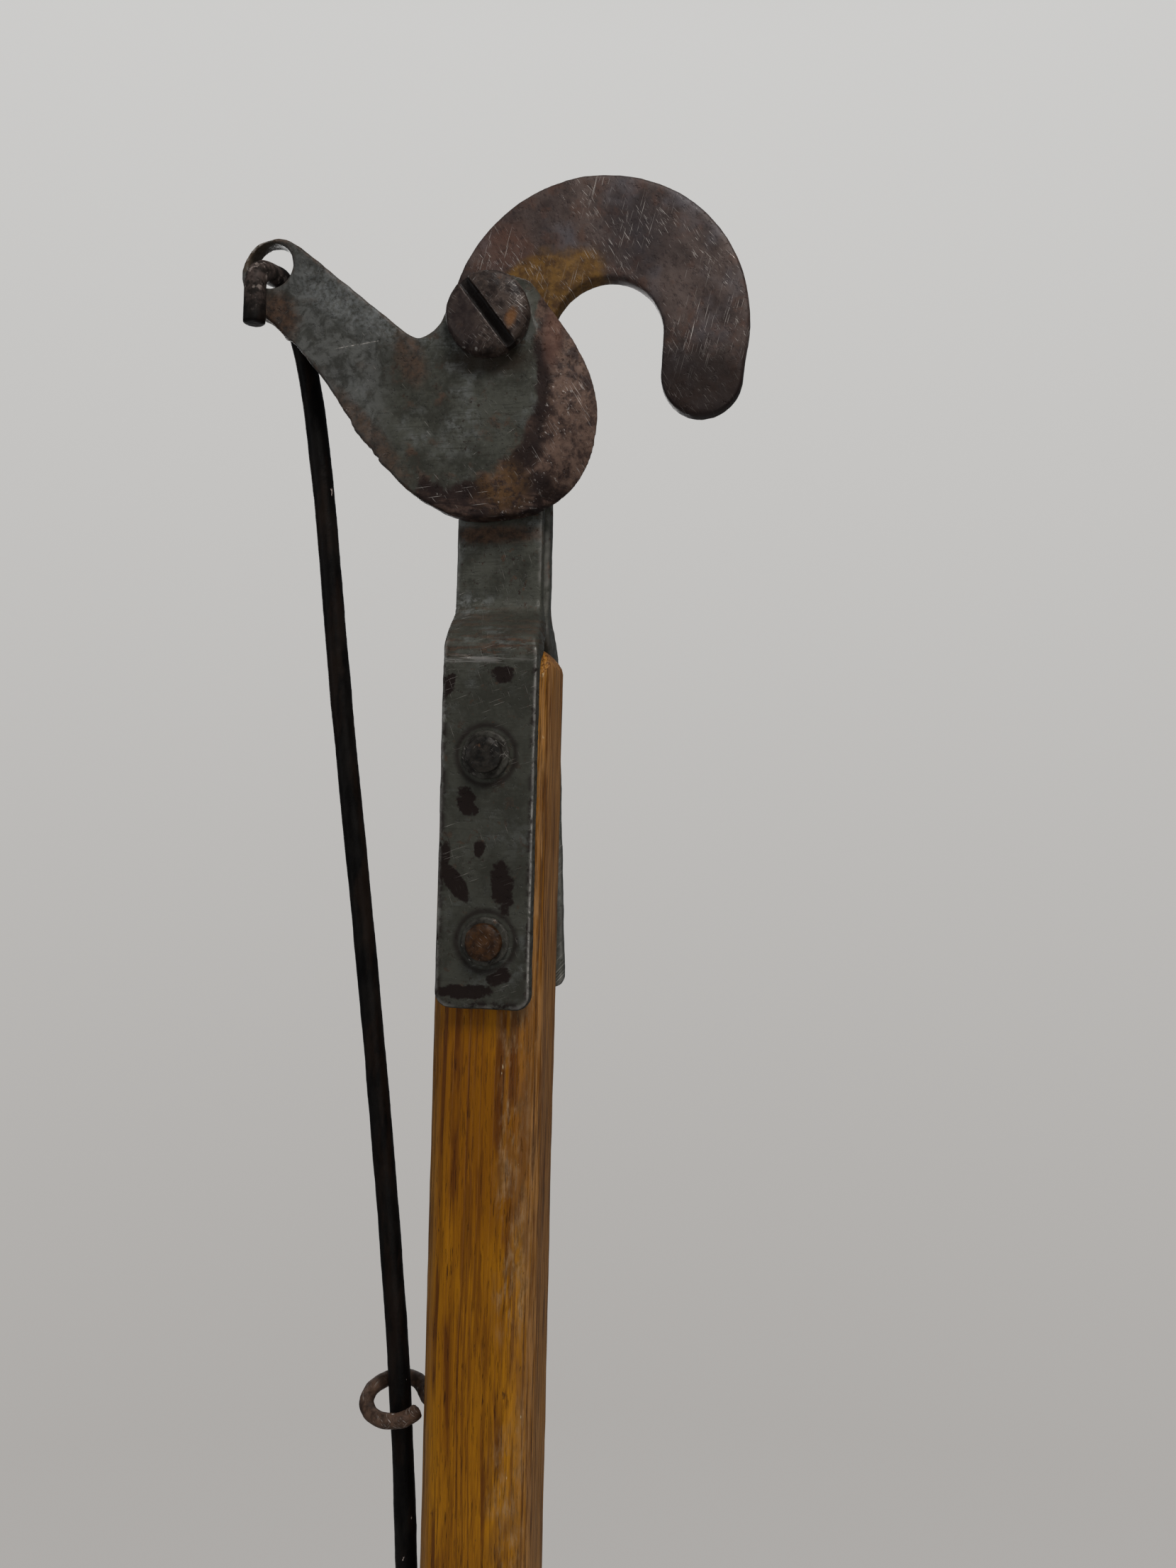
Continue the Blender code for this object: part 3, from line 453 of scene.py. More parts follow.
def bare_rim(f, z):
    """Bare, pitted and rusted iron along the cutting edge."""
    blotch = f.span(f.noise(3.4, 6.0, 0.68, 0.3), 0.38, 0.62)
    iron = f.mix(blotch, RIM_DARK, RIM_LIGHT)
    streaky = f.span(f.noise(1.0, 4.0, 0.62, 0.4, (7.0, 6.0, 1.4), 6), 0.42, 0.64)
    dark = f.any_of(f.patch((14.0, -19.0), (3.2, 14.0), soft=0.4, ragged=0.5),
                    f.patch((10.5, -37.0), (4.4, 9.0), turn=-24, soft=0.4, ragged=0.5),
                    f.patch((13.5, -45.5), (5.5, 3.2), turn=14),
                    f.patch((-9.0, -46.0), (13.0, 3.6), turn=-6, soft=0.35),
                    f.all_of(f.span(z, -42.0, -48.0), f.less(f.sum("MULTIPLY", streaky, 0.6))))
    iron = f.cover(iron, RIM_SOOT, dark, 0.92)
    stain = f.all_of(f.patch((4.5, -46.0), (6.0, 6.0), turn=-30, soft=0.7, ragged=0.6, grain=4.0),
                     f.span(f.noise(1.6, 5.0, 0.7), 0.34, 0.60))
    iron = f.cover(iron, RIM_STAIN, stain, 0.6)
    ruddy = f.patch((17.0, -5.0), (2.4, 8.0), soft=0.5)
    iron = f.cover(iron, RIM_RED, ruddy, 0.5)
    specks = f.span(f.noise(0.8, 5.0, 0.75, 0.2, (1.0, 3.0, 1.8), -32), 0.60, 0.66)
    worn_rim = f.any_of(f.patch((19.0, -30.0), (4.5, 18.0), turn=-8, soft=0.5),
                        f.patch((10.0, -52.0), (9.0, 3.0)))
    specks = f.all_of(specks, f.any_of(worn_rim,
                                       f.span(f.noise(8.0, 2.0, 0.5), 0.50, 0.66, 0.0, 0.6)))
    iron = f.cover(iron, BARE, specks, 0.45)
    combed = f.all_of(f.scratches(84, 7.0, 0.22, 0.07),
                      f.patch((-8.0, -47.0), (14.0, 4.5), turn=-6))
    iron = f.cover(iron, BARE, f.any_of(f.scratches(-32, 4.5, 0.2, 0.05), combed), 0.42)
    return iron


def make_blade_finish():
    """Paint on the lever arm and the blade's middle, bare rusted iron round the cutting rim."""
    f = Finish("blade and lever", pivot)
    colour, fine = paint_layers(f)
    wander = f.sum("MULTIPLY_ADD", f.noise(5.0, 6.0, 0.65), 9.0, -4.5)
    x, z = f.axis(0), f.axis(2)
    kept = f.any_of(f.patch((-9.0, -18.0), (22.5, 26.5), soft=0.05, ragged=0.22, grain=7.0),
                    f.all_of(f.span(f.sum("ADD", x, wander), 12.2, 13.6, 1.0, 0.0),
                             f.span(z, -21.0, -17.0)),
                    f.span(f.sum("ADD", x, wander), -17.0, -20.0))
    rim = f.less(kept)
    # painted sheen: pale silvery highlight patches over the upper lever arm
    painted_sheen = f.all_of(f.patch((-40.0, 6.0), (17.0, 6.0), turn=-31, soft=0.6),
                     f.span(fine, 0.38, 0.62))
    colour = f.cover(colour, ARM_PAINTED_SHEEN, painted_sheen, 0.8)
    arm_edge = f.all_of(f.worn(0.505, 0.54), f.span(f.noise(5.0, 5.0, 0.6), 0.35, 0.5))
    tip_rust = f.patch((-61.0, 3.0), (6.0, 7.0), turn=40)
    eye_rust = f.patch((-68.0, 20.5), (7.5, 5.0), soft=0.5)
    arm = f.span(x, -24.0, -34.0)
    colour = f.cover(colour, f.mix(f.span(f.noise(4.0, 6.0, 0.7, 0.6), 0.40, 0.60), ARM_DARK,
                                   ARM_LIGHT), arm, 0.6)
    stains = f.all_of(f.span(f.noise(7.0, 6.0, 0.65), 0.55, 0.68),
                      f.sum("MULTIPLY_ADD", arm, -0.75, 1.0))
    brown = f.any_of(f.sum("MULTIPLY", stains, 0.8),
                     f.sum("MULTIPLY", f.patch((-22.0, -10.0), (4.0, 8.0), turn=20), 0.8),
                     tip_rust, f.sum("MULTIPLY", arm_edge, 0.8),
                     f.sum("MULTIPLY", f.patch((-33.5, -30.5), (3.0, 16.0), turn=40), 0.7))
    colour = rust_over(f, colour, brown)
    colour = f.cover(colour, EYE_RUST, eye_rust, 0.7)
    # painted shadow: a dark crescent on the blade just under the screw head
    painted_screw_shadow = f.patch((0.5, -11.5), (11.5, 4.0), soft=0.4)
    colour = f.cover(colour, PAINTED_SCREW_SHADOW, painted_screw_shadow, 0.75)
    iron = bare_rim(f, z)
    colour = f.mix(rim, colour, iron)
    long_scratch = f.all_of(f.patch((-37.0, -6.0), (6.0, 0.16), turn=8, soft=0.5, ragged=0.9,
                                    grain=4.0),
                            f.span(fine, 0.40, 0.60))
    marks = f.any_of(f.scratches(55, 4.0, 0.2, 0.0), f.scratches(-40, 5.0, 0.16, 0.0), long_scratch)
    colour = f.cover(colour, BARE, marks, 0.45)
    glint = f.all_of(f.worn(0.525, 0.58), f.span(f.noise(2.5, 5.0, 0.6), 0.45, 0.6))
    colour = f.cover(colour, BARE, glint, 0.6)
    rough = f.sum("ADD", f.span(f.any_of(rim, brown), 0.0, 1.0, 0.40, 0.62),
                  f.sum("MULTIPLY_ADD", fine, 0.2, -0.1))
    metal = f.any_of(f.sum("MULTIPLY", rim, 0.15), glint)
    pits = f.span(f.noise(1.3, 5.0, 0.65), 0.56, 0.70, 1.0, 0.0)
    return f.done(colour, rough, metal, [(f.noise(5.0, 3.0, 0.5), 0.30), (pits, 0.14),
                                         (fine, 0.10)])


def hook_patina(f):
    """Scratched brown iron with an ochre bloom inside the crook and a dark tip."""
    cloud = f.span(f.noise(12.0, 6.0, 0.66), 0.30, 0.70)
    iron = f.mix(cloud, HOOK_DARK, HOOK_LIGHT)
    iron = f.mix(f.span(f.noise(5.0, 6.0, 0.66), 0.50, 0.66, 0.0, 0.6), iron, HOOK_RED)
    iron = f.mix(f.span(f.noise(15.0, 3.0, 0.6), 0.50, 0.70, 0.0, 0.6), iron, HOOK_BLUED)
    seat = f.patch((2.0, 22.0), (7.0, 6.0), turn=40, soft=0.6)
    iron = f.cover(iron, SEAT_RUST, seat, 0.6)
    grain = f.span(f.noise(0.9, 6.0, 0.8, 0.0, (1.0, 3.0, 2.2), -30), 0.50, 0.66, 0.0, 0.75)
    iron = f.mix(grain, iron, PATINA_DARK)
    # ochre bloom that follows the crook
    wander = f.sum("MULTIPLY_ADD", f.noise(6.0, 5.0, 0.6), 8.0, -4.0)
    side = f.span(f.sum("ADD", f.axis(0), wander), 28.0, 33.0, 1.0, 0.0)
    bloom = f.all_of(f.any_of(f.patch((20.0, 2.5), (20.5, 18.0), soft=0.14, ragged=0.16),
                              f.patch((9.5, 13.2), (9.0, 5.2), turn=24, soft=0.2, ragged=0.2)),
                     side)
    ochre = f.mix(f.span(f.noise(3.0, 6.0, 0.7), 0.35, 0.65), OCHRE_DARK, OCHRE)
    iron = f.cover(iron, ochre, bloom, 0.92)
    tip = f.patch((54.0, -22.0), (21.0, 15.5), soft=0.32, grain=3.0)
    iron = f.cover(iron, TIP_SOOT, tip, 0.84)
    smudge = f.patch((38.0, 24.0), (9.0, 9.0), soft=0.6)
    iron = f.cover(iron, SMUDGE, smudge, 0.6)
    lines = f.any_of(f.scratches(-30, 5.0, 0.2, 0.06, 18.0),
                     f.scratches(-42, 3.0, 0.18, 0.05, 12.0),
                     f.scratches(14, 8.0, 0.18, 0.055, 16.0))
    specks = f.all_of(f.span(f.noise(0.6, 5.0, 0.75), 0.66, 0.71),
                      f.span(f.noise(9.0, 2.0, 0.5), 0.50, 0.62))
    silver = f.all_of(f.any_of(lines, f.sum("MULTIPLY", specks, 0.7)),
                      f.sum("MULTIPLY_ADD", tip, -0.75, 1.0))
    iron = f.cover(iron, BARE, silver, 0.6)
    low = f.worn(0.515, 0.56)
    iron = f.cover(iron, PATINA_DARK, low, 0.75)
    glint = f.all_of(f.worn(0.53, 0.60), f.span(f.noise(3.0, 5.0, 0.6), 0.60, 0.68))
    return iron, silver, glint, wander


def chipped_paint(f, z):
    """Paint on neck and strap: chips, scars, nibbled edges and rust rings round the burrs, with a painted shadow
    under the blade, a painted highlight along the bend and painted shade on the faces turned from the front.
    """
    paint = paint_layers(f)[0]
    chips = f.span(f.noise(3.2, 6.0, 0.62, 0.4), 0.60, 0.64)
    freckle = f.span(f.noise(1.2, 4.0, 0.6), 0.66, 0.72)
    bend = f.patch((0.5, -86.0), (22.0, 7.0), soft=0.35, ragged=0.25)
    streaky = f.span(f.noise(1.0, 4.0, 0.6, 0.4, (14.0, 6.0, 1.2)), 0.42, 0.62)
    scars = f.any_of(*(f.patch(spot, reach, turn=turn, soft=0.16, ragged=0.9, grain=2.6)
                       for spot, reach, turn in STRAP_SCARS))
    # painted shadow: a dark band across the neck just under the blade, which the next line lays in with the rust
    below = f.patch((0.0, -57.5), (16.0, 2.4), soft=0.5)
    rust = f.any_of(f.all_of(bend, streaky), f.sum("MULTIPLY", chips, 0.8), freckle, below)
    paint = rust_over(f, paint, rust)
    x = f.axis(0)
    on_strap = f.span(z, -90.0, -94.0)
    nibbled = f.all_of(on_strap, f.span(f.noise(3.0, 5.0, 0.65), 0.44, 0.54),
                       f.any_of(f.span(x, -5.4, -7.6), f.span(x, 15.0, 16.6),
                                f.span(z, -181.5, -183.5)))
    halos = []
    for node in ("rivet_burr_upper", "rivet_burr_lower"):
        low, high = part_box(node)
        burr = ((low + high) / 2 - pivot) / MM
        outer = f.patch((burr.x, burr.z), (8.6, 8.6), soft=0.09, ragged=0.08)
        halos.append(f.all_of(outer, f.less(f.patch((burr.x, burr.z), (7.2, 7.2), soft=0.06,
                                                    ragged=0.04))))
    marred = f.any_of(scars, nibbled, f.sum("MULTIPLY", f.any_of(*halos), 0.75))
    lower = f.span(z, -92.0, -104.0)
    paint = f.cover(paint, PAINT_DARK, lower, 0.45)
    paint = f.cover(paint, SCAR, marred, 0.97)
    edge_line = f.all_of(on_strap, f.span(x, 16.2, 16.9),
                         f.span(f.noise(2.0, 4.0, 0.6), 0.40, 0.50))
    rust = f.any_of(rust, marred)
    worn = f.all_of(f.worn(0.51, 0.55), f.span(f.noise(4.0, 5.0, 0.6), 0.36, 0.55))
    # painted highlight: a pale line along the crest of the strap's bend
    painted_bend_highlight = f.all_of(f.patch((0.5, -93.5), (10.5, 0.9), soft=0.7, ragged=0.2),
                     f.span(f.noise(1.0, 3.0, 0.6, 0.0, (8.0, 6.0, 0.8)), 0.42, 0.56))
    front = f.span(f.facing(1), -0.80, -0.62, 1.0, 0.0)
    # rubbed wear on the edges, together with the painted highlight on the bend
    wear_and_highlight = f.any_of(f.all_of(f.any_of(worn, edge_line), f.sum("MULTIPLY_ADD", front, 0.8, 0.2)),
                      painted_bend_highlight)
    paint = f.cover(paint, RUBBED, wear_and_highlight, 0.6)
    # painted shade: faces turned away from the front are darkened
    paint = f.cover(paint, PAINT_DARK, f.less(front), 0.55)
    marks = f.any_of(f.scratches(70, 6.0, 0.16, 0.02), f.scratches(-20, 5.0, 0.14, 0.02))
    paint = f.cover(paint, BARE, marks, 0.22)
    return paint, rust, wear_and_highlight


def make_hook_finish():
    """Brown scratched iron on the hook, chipped paint from the neck down."""
    f = Finish("hook patina and strap paint", pivot)
    fine = f.noise(0.9, 6.0, 0.7)
    iron, silver, glint, wander = hook_patina(f)
    z = f.axis(2)
    paint, rust, wear_and_highlight = chipped_paint(f, z)
    painted = f.span(f.sum("ADD", z, wander), -46.0, -50.0)
    colour = f.mix(painted, iron, paint)
    iron_rough = f.sum("MULTIPLY_ADD", silver, -0.15, 0.50)
    paint_rough = f.span(rust, 0.0, 1.0, 0.42, 0.8)
    rough = f.sum("ADD", f.all_of(f.less(painted), iron_rough), f.all_of(painted, paint_rough))
    metal = f.any_of(f.all_of(f.less(painted), f.sum("MULTIPLY_ADD", silver, 0.3, 0.1)),
                     f.all_of(painted, wear_and_highlight), glint)
    pits = f.span(f.noise(1.8, 5.0, 0.6), 0.58, 0.70, 1.0, 0.0)
    return f.done(colour, rough, metal, [(f.noise(6.0, 3.0, 0.5), 0.25), (pits, 0.12),
                                         (fine, 0.06)])


def make_iron(name, light, dark, rough, metal, rust_share, slot_turn=None):
    """Iron fixings with rust blooms and rubbed edges; a slotted one also has painted shade over the left of its
    head and a darkened slot.
    """
    f = Finish(name, pivot)
    fine = f.noise(0.7, 6.0, 0.7)
    colour = f.mix(f.span(f.noise(2.6, 6.0, 0.65), 0.35, 0.65), dark, light)
    rust = f.span(f.noise(3.3, 6.0, 0.65, 0.3), 0.62 - rust_share, 0.70 - rust_share)
    colour = f.cover(colour, RUST, rust, 0.7)
    colour = f.mix(f.span(f.noise(1.0, 4.0, 0.7), 0.58, 0.7, 0.0, 0.5), colour, RUST_DARK)
    lines = f.any_of(f.scratches(-50, 3.0, 0.16, 0.08, 8.0), f.scratches(35, 3.0, 0.16, 0.06, 8.0))
    rub = f.all_of(f.worn(0.52, 0.60), f.span(f.noise(1.8, 4.0, 0.6), 0.42, 0.6))
    shine = f.any_of(f.sum("MULTIPLY", lines, 0.6), f.sum("MULTIPLY", rub, 0.8))
    colour = f.cover(colour, BARE, shine, 0.7)
    if slot_turn is not None:
        # painted shade: the left side of the screw head is darkened
        colour = f.cover(colour, PATINA_DARK, f.patch((-6.5, -3.5), (5.5, 9.0), soft=0.6), 0.6)
        stain = f.patch((7.2, -2.6), (1.3, 2.4), turn=-20, soft=0.6, ragged=0.6, grain=2.0)
        colour = f.cover(colour, SCREW_STAIN, stain, 0.8)
        # the sawn slot is darkened
        slot = f.patch((0.0, 0.0), (34.0, 1.5), turn=slot_turn, soft=0.12, ragged=0.08)
        colour = f.cover(colour, SLOT_DARK, slot, 0.9)
    roughness = f.sum("ADD", f.sum("MULTIPLY_ADD", rust, 0.25, rough), f.sum("MULTIPLY", fine, 0.1))
    metallic = f.all_of(f.sum("MULTIPLY_ADD", shine, 0.4, metal), f.span(rust, 0.0, 1.0, 1.0, 0.3))
    return f.done(colour, roughness, metallic, [(f.noise(2.2, 4.0, 0.6), 0.22), (fine, 0.10)])


def make_rod_finish():
    """Black iron, browner below the arm and rubbed where the hooked top hangs in its eye."""
    f = Finish("black rod iron", pivot)
    fine = f.noise(0.8, 6.0, 0.7)
    colour = f.mix(f.span(f.noise(5.0, 5.0, 0.6, 0.0, (1, 1, 3)), 0.35, 0.65), ROD_BLACK,
                   ROD_GREY)
    z = f.axis(2)
    brown = f.all_of(f.span(f.noise(6.0, 5.0, 0.65, 0.0, (1, 1, 4)), 0.46, 0.62),
                     f.less(f.span(z, -5.0, 12.0)))
    colour = f.cover(colour, ROD_BROWN, brown, 0.3)
    top = f.span(z, 0.0, 9.0)
    crown = f.mix(f.span(f.noise(3.0, 6.0, 0.65), 0.38, 0.62), CROWN_DARK, CROWN_LIGHT)
    colour = f.mix(top, colour, crown)
    spots = f.all_of(f.span(f.noise(2.0, 5.0, 0.6), 0.58, 0.66), top)
    nicks = f.span(f.noise(2.6, 4.0, 0.6, 0.0, (1, 1, 2)), 0.70, 0.74)
    bare = f.any_of(f.sum("MULTIPLY", spots, 0.3), nicks)
    colour = f.mix(bare, colour, ROD_BARE)
    rough = f.sum("MULTIPLY_ADD", fine, 0.2, 0.36)
    return f.done(colour, rough, 0.0, [(f.noise(4.0, 4.0, 0.55), 0.25), (fine, 0.07)],
                  Specular_IOR_Level=0.03)


def make_wood(name, origin, grip=False):
    """Varnished ash: long dark growth lines, pores and worn, greyed corners."""
    f = Finish(name, origin)
    x, y = f.axis(0), f.axis(1)
    drift = f.sum("MULTIPLY_ADD", f.noise(90.0, 2.0, 0.5, 0.0, (1, 1, 2.2)), 9.0, -4.5)
    wave = f.sum("MULTIPLY_ADD", f.noise(26.0, 3.0, 0.5, 0.0, (1, 1, 3.0)), 2.6, -1.3)
    across = f.sum("ADD", f.sum("MULTIPLY_ADD", y, 0.22, x), f.sum("ADD", drift, wave))
    rings = f.add("ShaderNodeTexNoise", noise_dimensions="1D")
    f.feed(rings.inputs["W"], f.sum("MULTIPLY", across, 0.36))
    rings.inputs["Scale"].default_value = 1.0
    rings.inputs["Detail"].default_value = 2.5
    growth = f.span(rings.outputs["Fac"], 0.49, 0.58)
    fibre = f.noise(1.0, 4.0, 0.65, 0.0, (0.55, 0.8, 22.0))
    pores = f.span(f.noise(1.0, 3.0, 0.6, 0.0, (0.32, 0.45, 7.0)), 0.60, 0.68)
    broad = f.span(f.noise(22.0, 4.0, 0.55, 0.0, (1, 1, 5)), 0.36, 0.66)
    colour = f.mix(broad, WOOD_DEEP, WOOD_GOLD)
    colour = f.mix(f.span(fibre, 0.42, 0.60, 0.0, 0.55), colour, FIBRE)
    streaks = f.span(f.noise(1.0, 3.0, 0.62, 0.25, (1.6, 1.9, 30.0)), 0.55, 0.62)
    line = f.any_of(f.all_of(growth, f.span(f.noise(7.0, 4.0, 0.6, 0.0, (1, 1, 6)), 0.40, 0.56)),
                    f.sum("MULTIPLY", streaks, 0.55))
    colour = f.cover(colour, GROWTH_LINE, line, 0.85)
    colour = f.mix(f.all_of(pores, f.sum("MULTIPLY_ADD", growth, 0.45, 0.45)), colour, PORE)
    # the side away from the varnish brush is pinker and duller
    flank = f.any_of(f.span(x, 10.5, 14.0), f.span(x, -10.5, -14.5)) if not grip else f.span(fibre,
                                                                                             0.5,
                                                                                             0.7)
    dull = f.mix(f.span(fibre, 0.40, 0.60), FLANK_DARK, FLANK_LIGHT)
    colour = f.cover(colour, dull, flank, 0.5)
    shakes = f.all_of(flank, f.span(f.noise(1.0, 3.0, 0.6, 0.2, (1.4, 1.0, 34.0)), 0.54, 0.60))
    colour = f.cover(colour, SHAKE, shakes, 0.75)
    # rubbed through along the corners
    corner = f.patch((9.3, -500.0), (4.2, 900.0), soft=0.5,
                     ragged=0.0) if not grip else f.worn(0.51, 0.55)
    rubbed = f.all_of(corner, f.span(f.noise(6.0, 6.0, 0.66, 0.3, (1, 1, 3.5)), 0.44, 0.54),
                      f.span(f.noise(46.0, 2.0, 0.5, 0.0, (1, 1, 1.6)), 0.36, 0.50))
    grey = f.mix(f.span(f.noise(2.0, 5.0, 0.65, 0.0, (1, 1, 3)), 0.38, 0.62), WORN_DARK,
                 WORN_LIGHT)
    thin = f.span(f.noise(1.2, 5.0, 0.7, 0.2, (0.8, 1.0, 5.0)), 0.42, 0.58, 0.25, 1.0)
    colour = f.mix(f.all_of(rubbed, f.sum("MULTIPLY", thin, 0.6)), colour, grey)
    shade = f.all_of(corner, f.span(f.noise(8.0, 4.0, 0.6, 0.0, (1, 1, 4)), 0.50, 0.62))
    colour = f.cover(colour, CORNER_SHADE, shade, 0.5)
    nick = f.span(f.noise(3.0, 3.0, 0.6, 0.0, (0.6, 1, 2.5)), 0.71, 0.75)
    colour = f.mix(f.all_of(nick, corner), colour, NICK)
    fleck = f.span(f.noise(2.4, 4.0, 0.6, 0.0, (0.7, 1, 2.0)), 0.69, 0.74)
    colour = f.cover(colour, FLECK, fleck, 0.7)
    rough = f.span(f.any_of(rubbed, f.sum("MULTIPLY", flank, 0.5)), 0.0, 1.0, 0.36, 0.66)
    heights = [(f.less(growth), 0.10), (fibre, 0.12), (f.less(pores), 0.10)]
    return f.done(colour, rough, 0.0, heights, Specular_IOR_Level=0.10)


# ---------------------------------------------------------------- hand work on the meshes
def alone(piece):
    bpy.ops.object.select_all(action="DESELECT")
    piece.select_set(True)
    bpy.context.view_layer.objects.active = piece


def edit(piece):
    alone(piece)
    bpy.ops.object.mode_set(mode="EDIT")


def leave():
    bpy.ops.object.mode_set(mode="OBJECT")


def apply_place(piece):
    alone(piece)
    bpy.ops.object.transform_apply(location=True, rotation=True, scale=True)


def modify(piece, kind, **settings):
    alone(piece)
    step = piece.modifiers.new(kind.lower(), kind)
    for name, value in settings.items():
        setattr(step, name, value)
    bpy.ops.object.modifier_apply(modifier=step.name)


def blank_from(node, name):
    """A loose copy of a frame part, welded, ready to be worked."""
    piece = bpy.data.objects.new(name, frame["nodes"][node].data.copy())
    piece.data.materials.clear()
    bpy.context.scene.collection.objects.link(piece)
    edit(piece)
    bpy.ops.mesh.select_all(action="SELECT")
    bpy.ops.mesh.remove_doubles(threshold=1e-6)
    leave()
    bpy.ops.mesh.customdata_custom_splitnormals_clear()
    return piece


def hammer_marks(size):
    marks = bpy.data.textures.new("clouds %.1f" % (size / MM), "CLOUDS")
    marks.noise_scale = size
    marks.noise_depth = 2
    return marks


def forge(piece, grain, marks, relax=2, angle=60.0):
    """Skin the blank with an even mesh, ease its edges, hammer it: marks are (size, depth)."""
    modify(piece, "REMESH", mode="VOXEL", voxel_size=grain, use_smooth_shade=True)
    modify(piece, "SMOOTH", factor=0.5, iterations=relax)
    for size, depth in marks:
        modify(piece, "DISPLACE", texture=hammer_marks(size), texture_coords="LOCAL",
               strength=depth, mid_level=0.55)
    alone(piece)
    bpy.ops.object.shade_smooth_by_angle(angle=math.radians(angle))
    return piece


def batter(piece, start, end, deep, size, depth):
    """Hammer the edge between two (x, z) places, in mm from the pivot, to this depth."""
    first, last = (Vector((x, 0.0, z)) * MM for x, z in (start, end))
    along = (last - first).normalized()
    inward = Vector((-along.z, 0.0, along.x))
    for spot in piece.data.vertices:
        at = spot.co + piece.location - pivot - first
        spot.select = abs(at.dot(inward)) < deep and 0.0 < at.dot(along) < (last - first).length
    alone(piece)
    bpy.ops.object.vertex_group_add()
    bpy.ops.object.mode_set(mode="EDIT")
    bpy.ops.object.vertex_group_assign()
    leave()
    group = piece.vertex_groups[-1].name
    for direction in ("X", "Z"):
        modify(piece, "DISPLACE", texture=hammer_marks(size), texture_coords="LOCAL",
               direction=direction,
               vertex_group=group, strength=depth, mid_level=0.42)
    modify(piece, "SMOOTH", factor=0.5, iterations=2, vertex_group=group)


def stand_for(piece, node, finish):
    """The finished piece takes the frame node's place."""
    piece.data.materials.clear()
    piece.data.materials.append(finish)
    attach(piece, body_of[node])
    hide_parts(node)


def make_pole(finish):
    """The square pole: rounded corners, a blunt wedge on top, cuts all over so that it can be dented."""
    low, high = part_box("pole")
    corner = 6.3 * MM
    top_half = 4.5 * MM         # half the width of the wedge's blunt top
    slant = 0.9                 # rise over run of its two faces
    rib_gap = 2.9 * MM          # between the lengthwise cuts
    step = 5.0 * MM             # between the cross cuts
    middle = (low + high) / 2
    bpy.ops.object.select_all(action="DESELECT")
    bpy.ops.mesh.primitive_cube_add(size=1.0, location=middle, scale=high - low)
    pole = bpy.context.object
    pole.name = "ash_pole"
    apply_place(pole)
    edit(pole)
    bpy.ops.mesh.select_all(action="DESELECT")
    leave()
    for edge in pole.data.edges:
        ends = [pole.data.vertices[i].co for i in edge.vertices]
        edge.select = abs(ends[0].z - ends[1].z) > (high.z - low.z) / 2
    edit(pole)
    bpy.ops.mesh.select_mode(type="EDGE")
    bpy.ops.mesh.bevel(offset=corner, segments=6, profile=0.42, affect="EDGES")
    for side in (-1, 1):
        bpy.ops.mesh.select_all(action="SELECT")
        bpy.ops.mesh.bisect(plane_co=(0, side * top_half, high.z), plane_no=(0, side, slant),
                            use_fill=True,
                            clear_outer=True)
    for i in range(1, int((high.z - low.z) / step)):
        bpy.ops.mesh.select_all(action="SELECT")
        bpy.ops.mesh.bisect(plane_co=(0, 0, low.z + i * step), plane_no=UP)
    for i in range(-3, 4):
        for normal in ((1, 0, 0), (0, 1, 0)):
            bpy.ops.mesh.select_all(action="SELECT")
            bpy.ops.mesh.bisect(plane_co=Vector(normal) * i * rib_gap, plane_no=normal)
    leave()
    modify(pole, "BEVEL", width=0.8 * MM, segments=2, limit_method="ANGLE",
           angle_limit=math.radians(40))
    modify(pole, "DISPLACE", texture=hammer_marks(70 * MM), texture_coords="LOCAL",
           strength=0.5 * MM, mid_level=0.6)
    modify(pole, "DISPLACE", texture=hammer_marks(9 * MM), texture_coords="LOCAL",
           strength=0.3 * MM, mid_level=0.6)
    alone(pole)
    bpy.ops.object.shade_smooth_by_angle(angle=math.radians(50))
    stand_for(pole, "pole", finish)


def pick_faces(piece, test):
    """Select the faces whose middle and normal pass the test. Called in object mode."""
    for spot in piece.data.vertices:
        spot.select = False
    for edge in piece.data.edges:
        edge.select = False
    for face in piece.data.polygons:
        face.select = test(face.center, face.normal)


